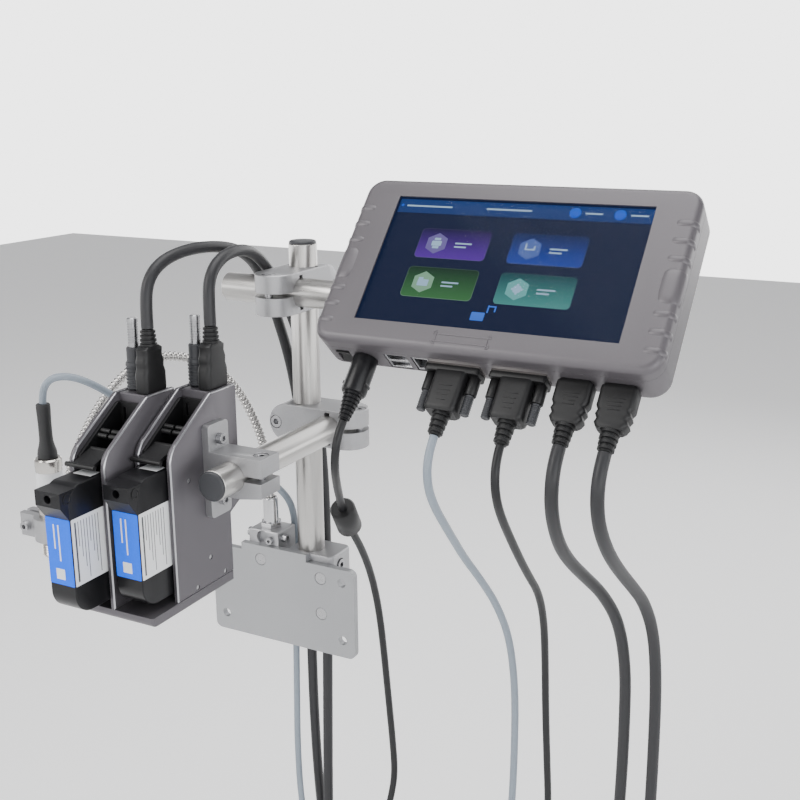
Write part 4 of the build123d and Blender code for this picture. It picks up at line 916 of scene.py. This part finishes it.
# %% The power plug
form = bmesh.new()
at = under(-73.5)
turned(form, [(6.9, 0.02), (7.4, 0.5), (7.5, 1.2), (7.5, 22.4), (6.9, 23.6), (5.4, 24.2)], at, 36)
block(form, (-3, -9.7, 0.3), (3, -5.9, 16.0), 0.8, 2, at)
for side in (-1, 1):
    block(form, (side * 7.1 - 0.7, -3.0, 17.0), (side * 7.1 + 0.7, 3.0, 19.0), 0.3, 2, at)
ribbed(form, at, 23.8, 41.0, 5.7, 3.5, 7, 2.6)
stand_in("power_plug", in_metres(form), [gloss_black])

# %% [markdown]
# ## Heads
# The heads' side plates are milled from grey anodised plate and their chamfers shine. A cartridge is
# a black moulding with a nose, a blue label in front, and a white one on its side.

# %% Side plates with bright chamfers
for head_name in ("right", "left"):
    for side_name in ("right", "left"):
        node = f"{head_name}_head_{side_name}_plate"
        form = merged(node)
        form.normal_update()
        cuts = [face for face in form.faces if 0.2 < abs(face.normal.x) < 0.95]
        for face in cuts:
            face.material_index = 1
        print(node, "has", len(cuts), "chamfer faces")
        stand_in(node, form, [head_grey, bright_edge])

# %% [markdown]
# A cartridge keeps its moulded shape from the frame. Its labels are printed film, so they are thin
# rounded plates that stand a tenth of a millimetre proud, and the print on them is thinner still.
# Plain bars stand for the words, since only their rhythm shows from where the camera stands.

# %% Cartridges
label_blue = finish("label_blue", (0.0, 0.12, 0.88), 0.0, 0.55, 900, vary=0.05, bump=0.04,
                    shine=0.15)
print_black = finish("label_print", (0.05, 0.05, 0.055), 0.0, 0.5, 900, vary=0.1, bump=0.0)
heads = {"right": (6.5, 0.0), "left": (-21.7, -24.0)}
half_width, label_mid = 9.5, 102.7
for side_name, (mid, shift) in heads.items():
    node = f"{side_name}_cartridge"
    stand_in(node, merged(node), [gloss_black], bevel=2 * hairline)
    form = bmesh.new()
    front = -164.0 + shift
    front_at = plane_matrix((mid, front, 0), (1, 0, 0), (0, 0, 1))
    loft(form, [(18.2, 40.5, 0.6, -0.05), (18.2, 40.5, 0.6, 0.12)], front_at @ stand(0, label_mid, 0))
    extra(f"{side_name}_front_label", form, body_of(node), label_blue)
    form = bmesh.new()
    for x, z, wide, tall in ((-3.2, 111.5, 1.0, 15.0), (0.2, 108.0, 1.0, 22.0), (-0.6, 89.0, 6.5, 6.5)):
        loft(form, [(wide, tall, 0.3, 0.05), (wide, tall, 0.3, 0.17)], front_at @ stand(x, z, 0), 3)
    extra(f"{side_name}_front_marks", form, body_of(node), label_white)
    form = bmesh.new()
    for side in (-1, 1):
        eye_at = plane_matrix((mid + side * 9.25, front - 0.5, 136), (0, 1, 0), (0, 0, side))
        turned(form, [(3.2, 0.0), (3.2, 0.4), (2.5, 0.4), (2.5, -1.0)], eye_at, 24)
    extra(f"{side_name}_eye_rings", form, body_of(node), black)
    form = bmesh.new()
    for side in (-1, 1):
        label_at = plane_matrix((mid + side * half_width, front, 0), (0, side, 0), (0, 0, 1))
        spot = label_at @ stand(side * 14.2, label_mid, 0)
        loft(form, [(27.0, 40.5, 0.6, -0.05), (27.0, 40.5, 0.6, 0.1)], spot)
    block(form, (mid - 6.5, -142 + shift, 141.9), (mid + 6.5, -134 + shift, 142.15))
    extra(f"{side_name}_white_labels", form, body_of(node), label_white)
    form = bmesh.new()
    for side in (-1, 1):
        label_at = plane_matrix((mid + side * half_width, front, 0), (0, side, 0), (0, 0, 1))
        for column in range(9):
            tall = 36.0 - 7.0 * (column * 3 % 4)
            wide = 1.3 if column == 0 else 0.5
            spot = label_at @ stand(side * (3.6 + column * 2.3), 120.7 - tall / 2, 0)
            loft(form, [(wide, tall, 0.2, 0.05), (wide, tall, 0.2, 0.14)], spot, 2)
    extra(f"{side_name}_label_lines", form, body_of(node), print_black)

# %% [markdown]
# Behind each cartridge stand a ribbed round connector with a knurled metal tip, and the same kind of
# data plug as on the controller. Both repeat at the same place on each head, so one loop makes them.

# %% The heads' connectors and data plugs
behind = -84
form, tip_form, plug_form = bmesh.new(), bmesh.new(), bmesh.new()
for mid, shift in heads.values():
    at = stand(mid - 5.6, behind + shift, 0)
    barrel = [(4.1, 178.6), (5.2, 179.3), (5.7, 179.8), (5.7, 181.0)]
    for ring in range(6):
        low = 181.4 + ring * ring_pitch
        barrel += [(5.2, low), (5.2, low + 0.9), (5.7, low + 1.2), (5.7, low + 2.0)]
    barrel += [(5.4, 195.8), (4.7, 196.2), (4.7, 204.4), (4.2, 205.0)]
    turned(form, barrel, at)
    tip = [(2.8, 204.8), (3.3, 205.2), (3.3, 208.0)]
    for ring in range(8):
        low = 208.2 + ring * 1.6
        tip += [(3.0, low), (3.0, low + 0.6), (3.3, low + 0.8), (3.3, low + 1.4)]
    tip += [(3.3, 222.4), (2.7, 223.0)]
    turned(tip_form, tip, at)
    at = stand(mid + 6, behind + shift, 0)
    sections = [(9.2, 19.4, 2.5, 179.02), (9.8, 20.0, 2.8, 180.2), (9.8, 20.0, 2.8, 190)]
    for step in range(1, 9):
        wave = 0.9 * (0.5 - 0.5 * math.cos(step * math.pi * 0.5))
        sections.append((9.8 - step * 0.12, 20.0 - 2 * wave - step * 0.35, 2.8, 190 + step * 1.9))
    sections.append((8.0, 12.0, 2.8, 207.0))
    loft(plug_form, sections, at)
    ribbed(plug_form, at, 206.8, 217.0, 5.2, 4.6, 4, 3.8)
extra("head_connector_tips", tip_form, "print_heads", steel, smooth=25)
stand_in("head_connectors", in_metres(form), [cap_grey], smooth=30)
stand_in("head_hdmi_plugs", in_metres(plug_form), [black])
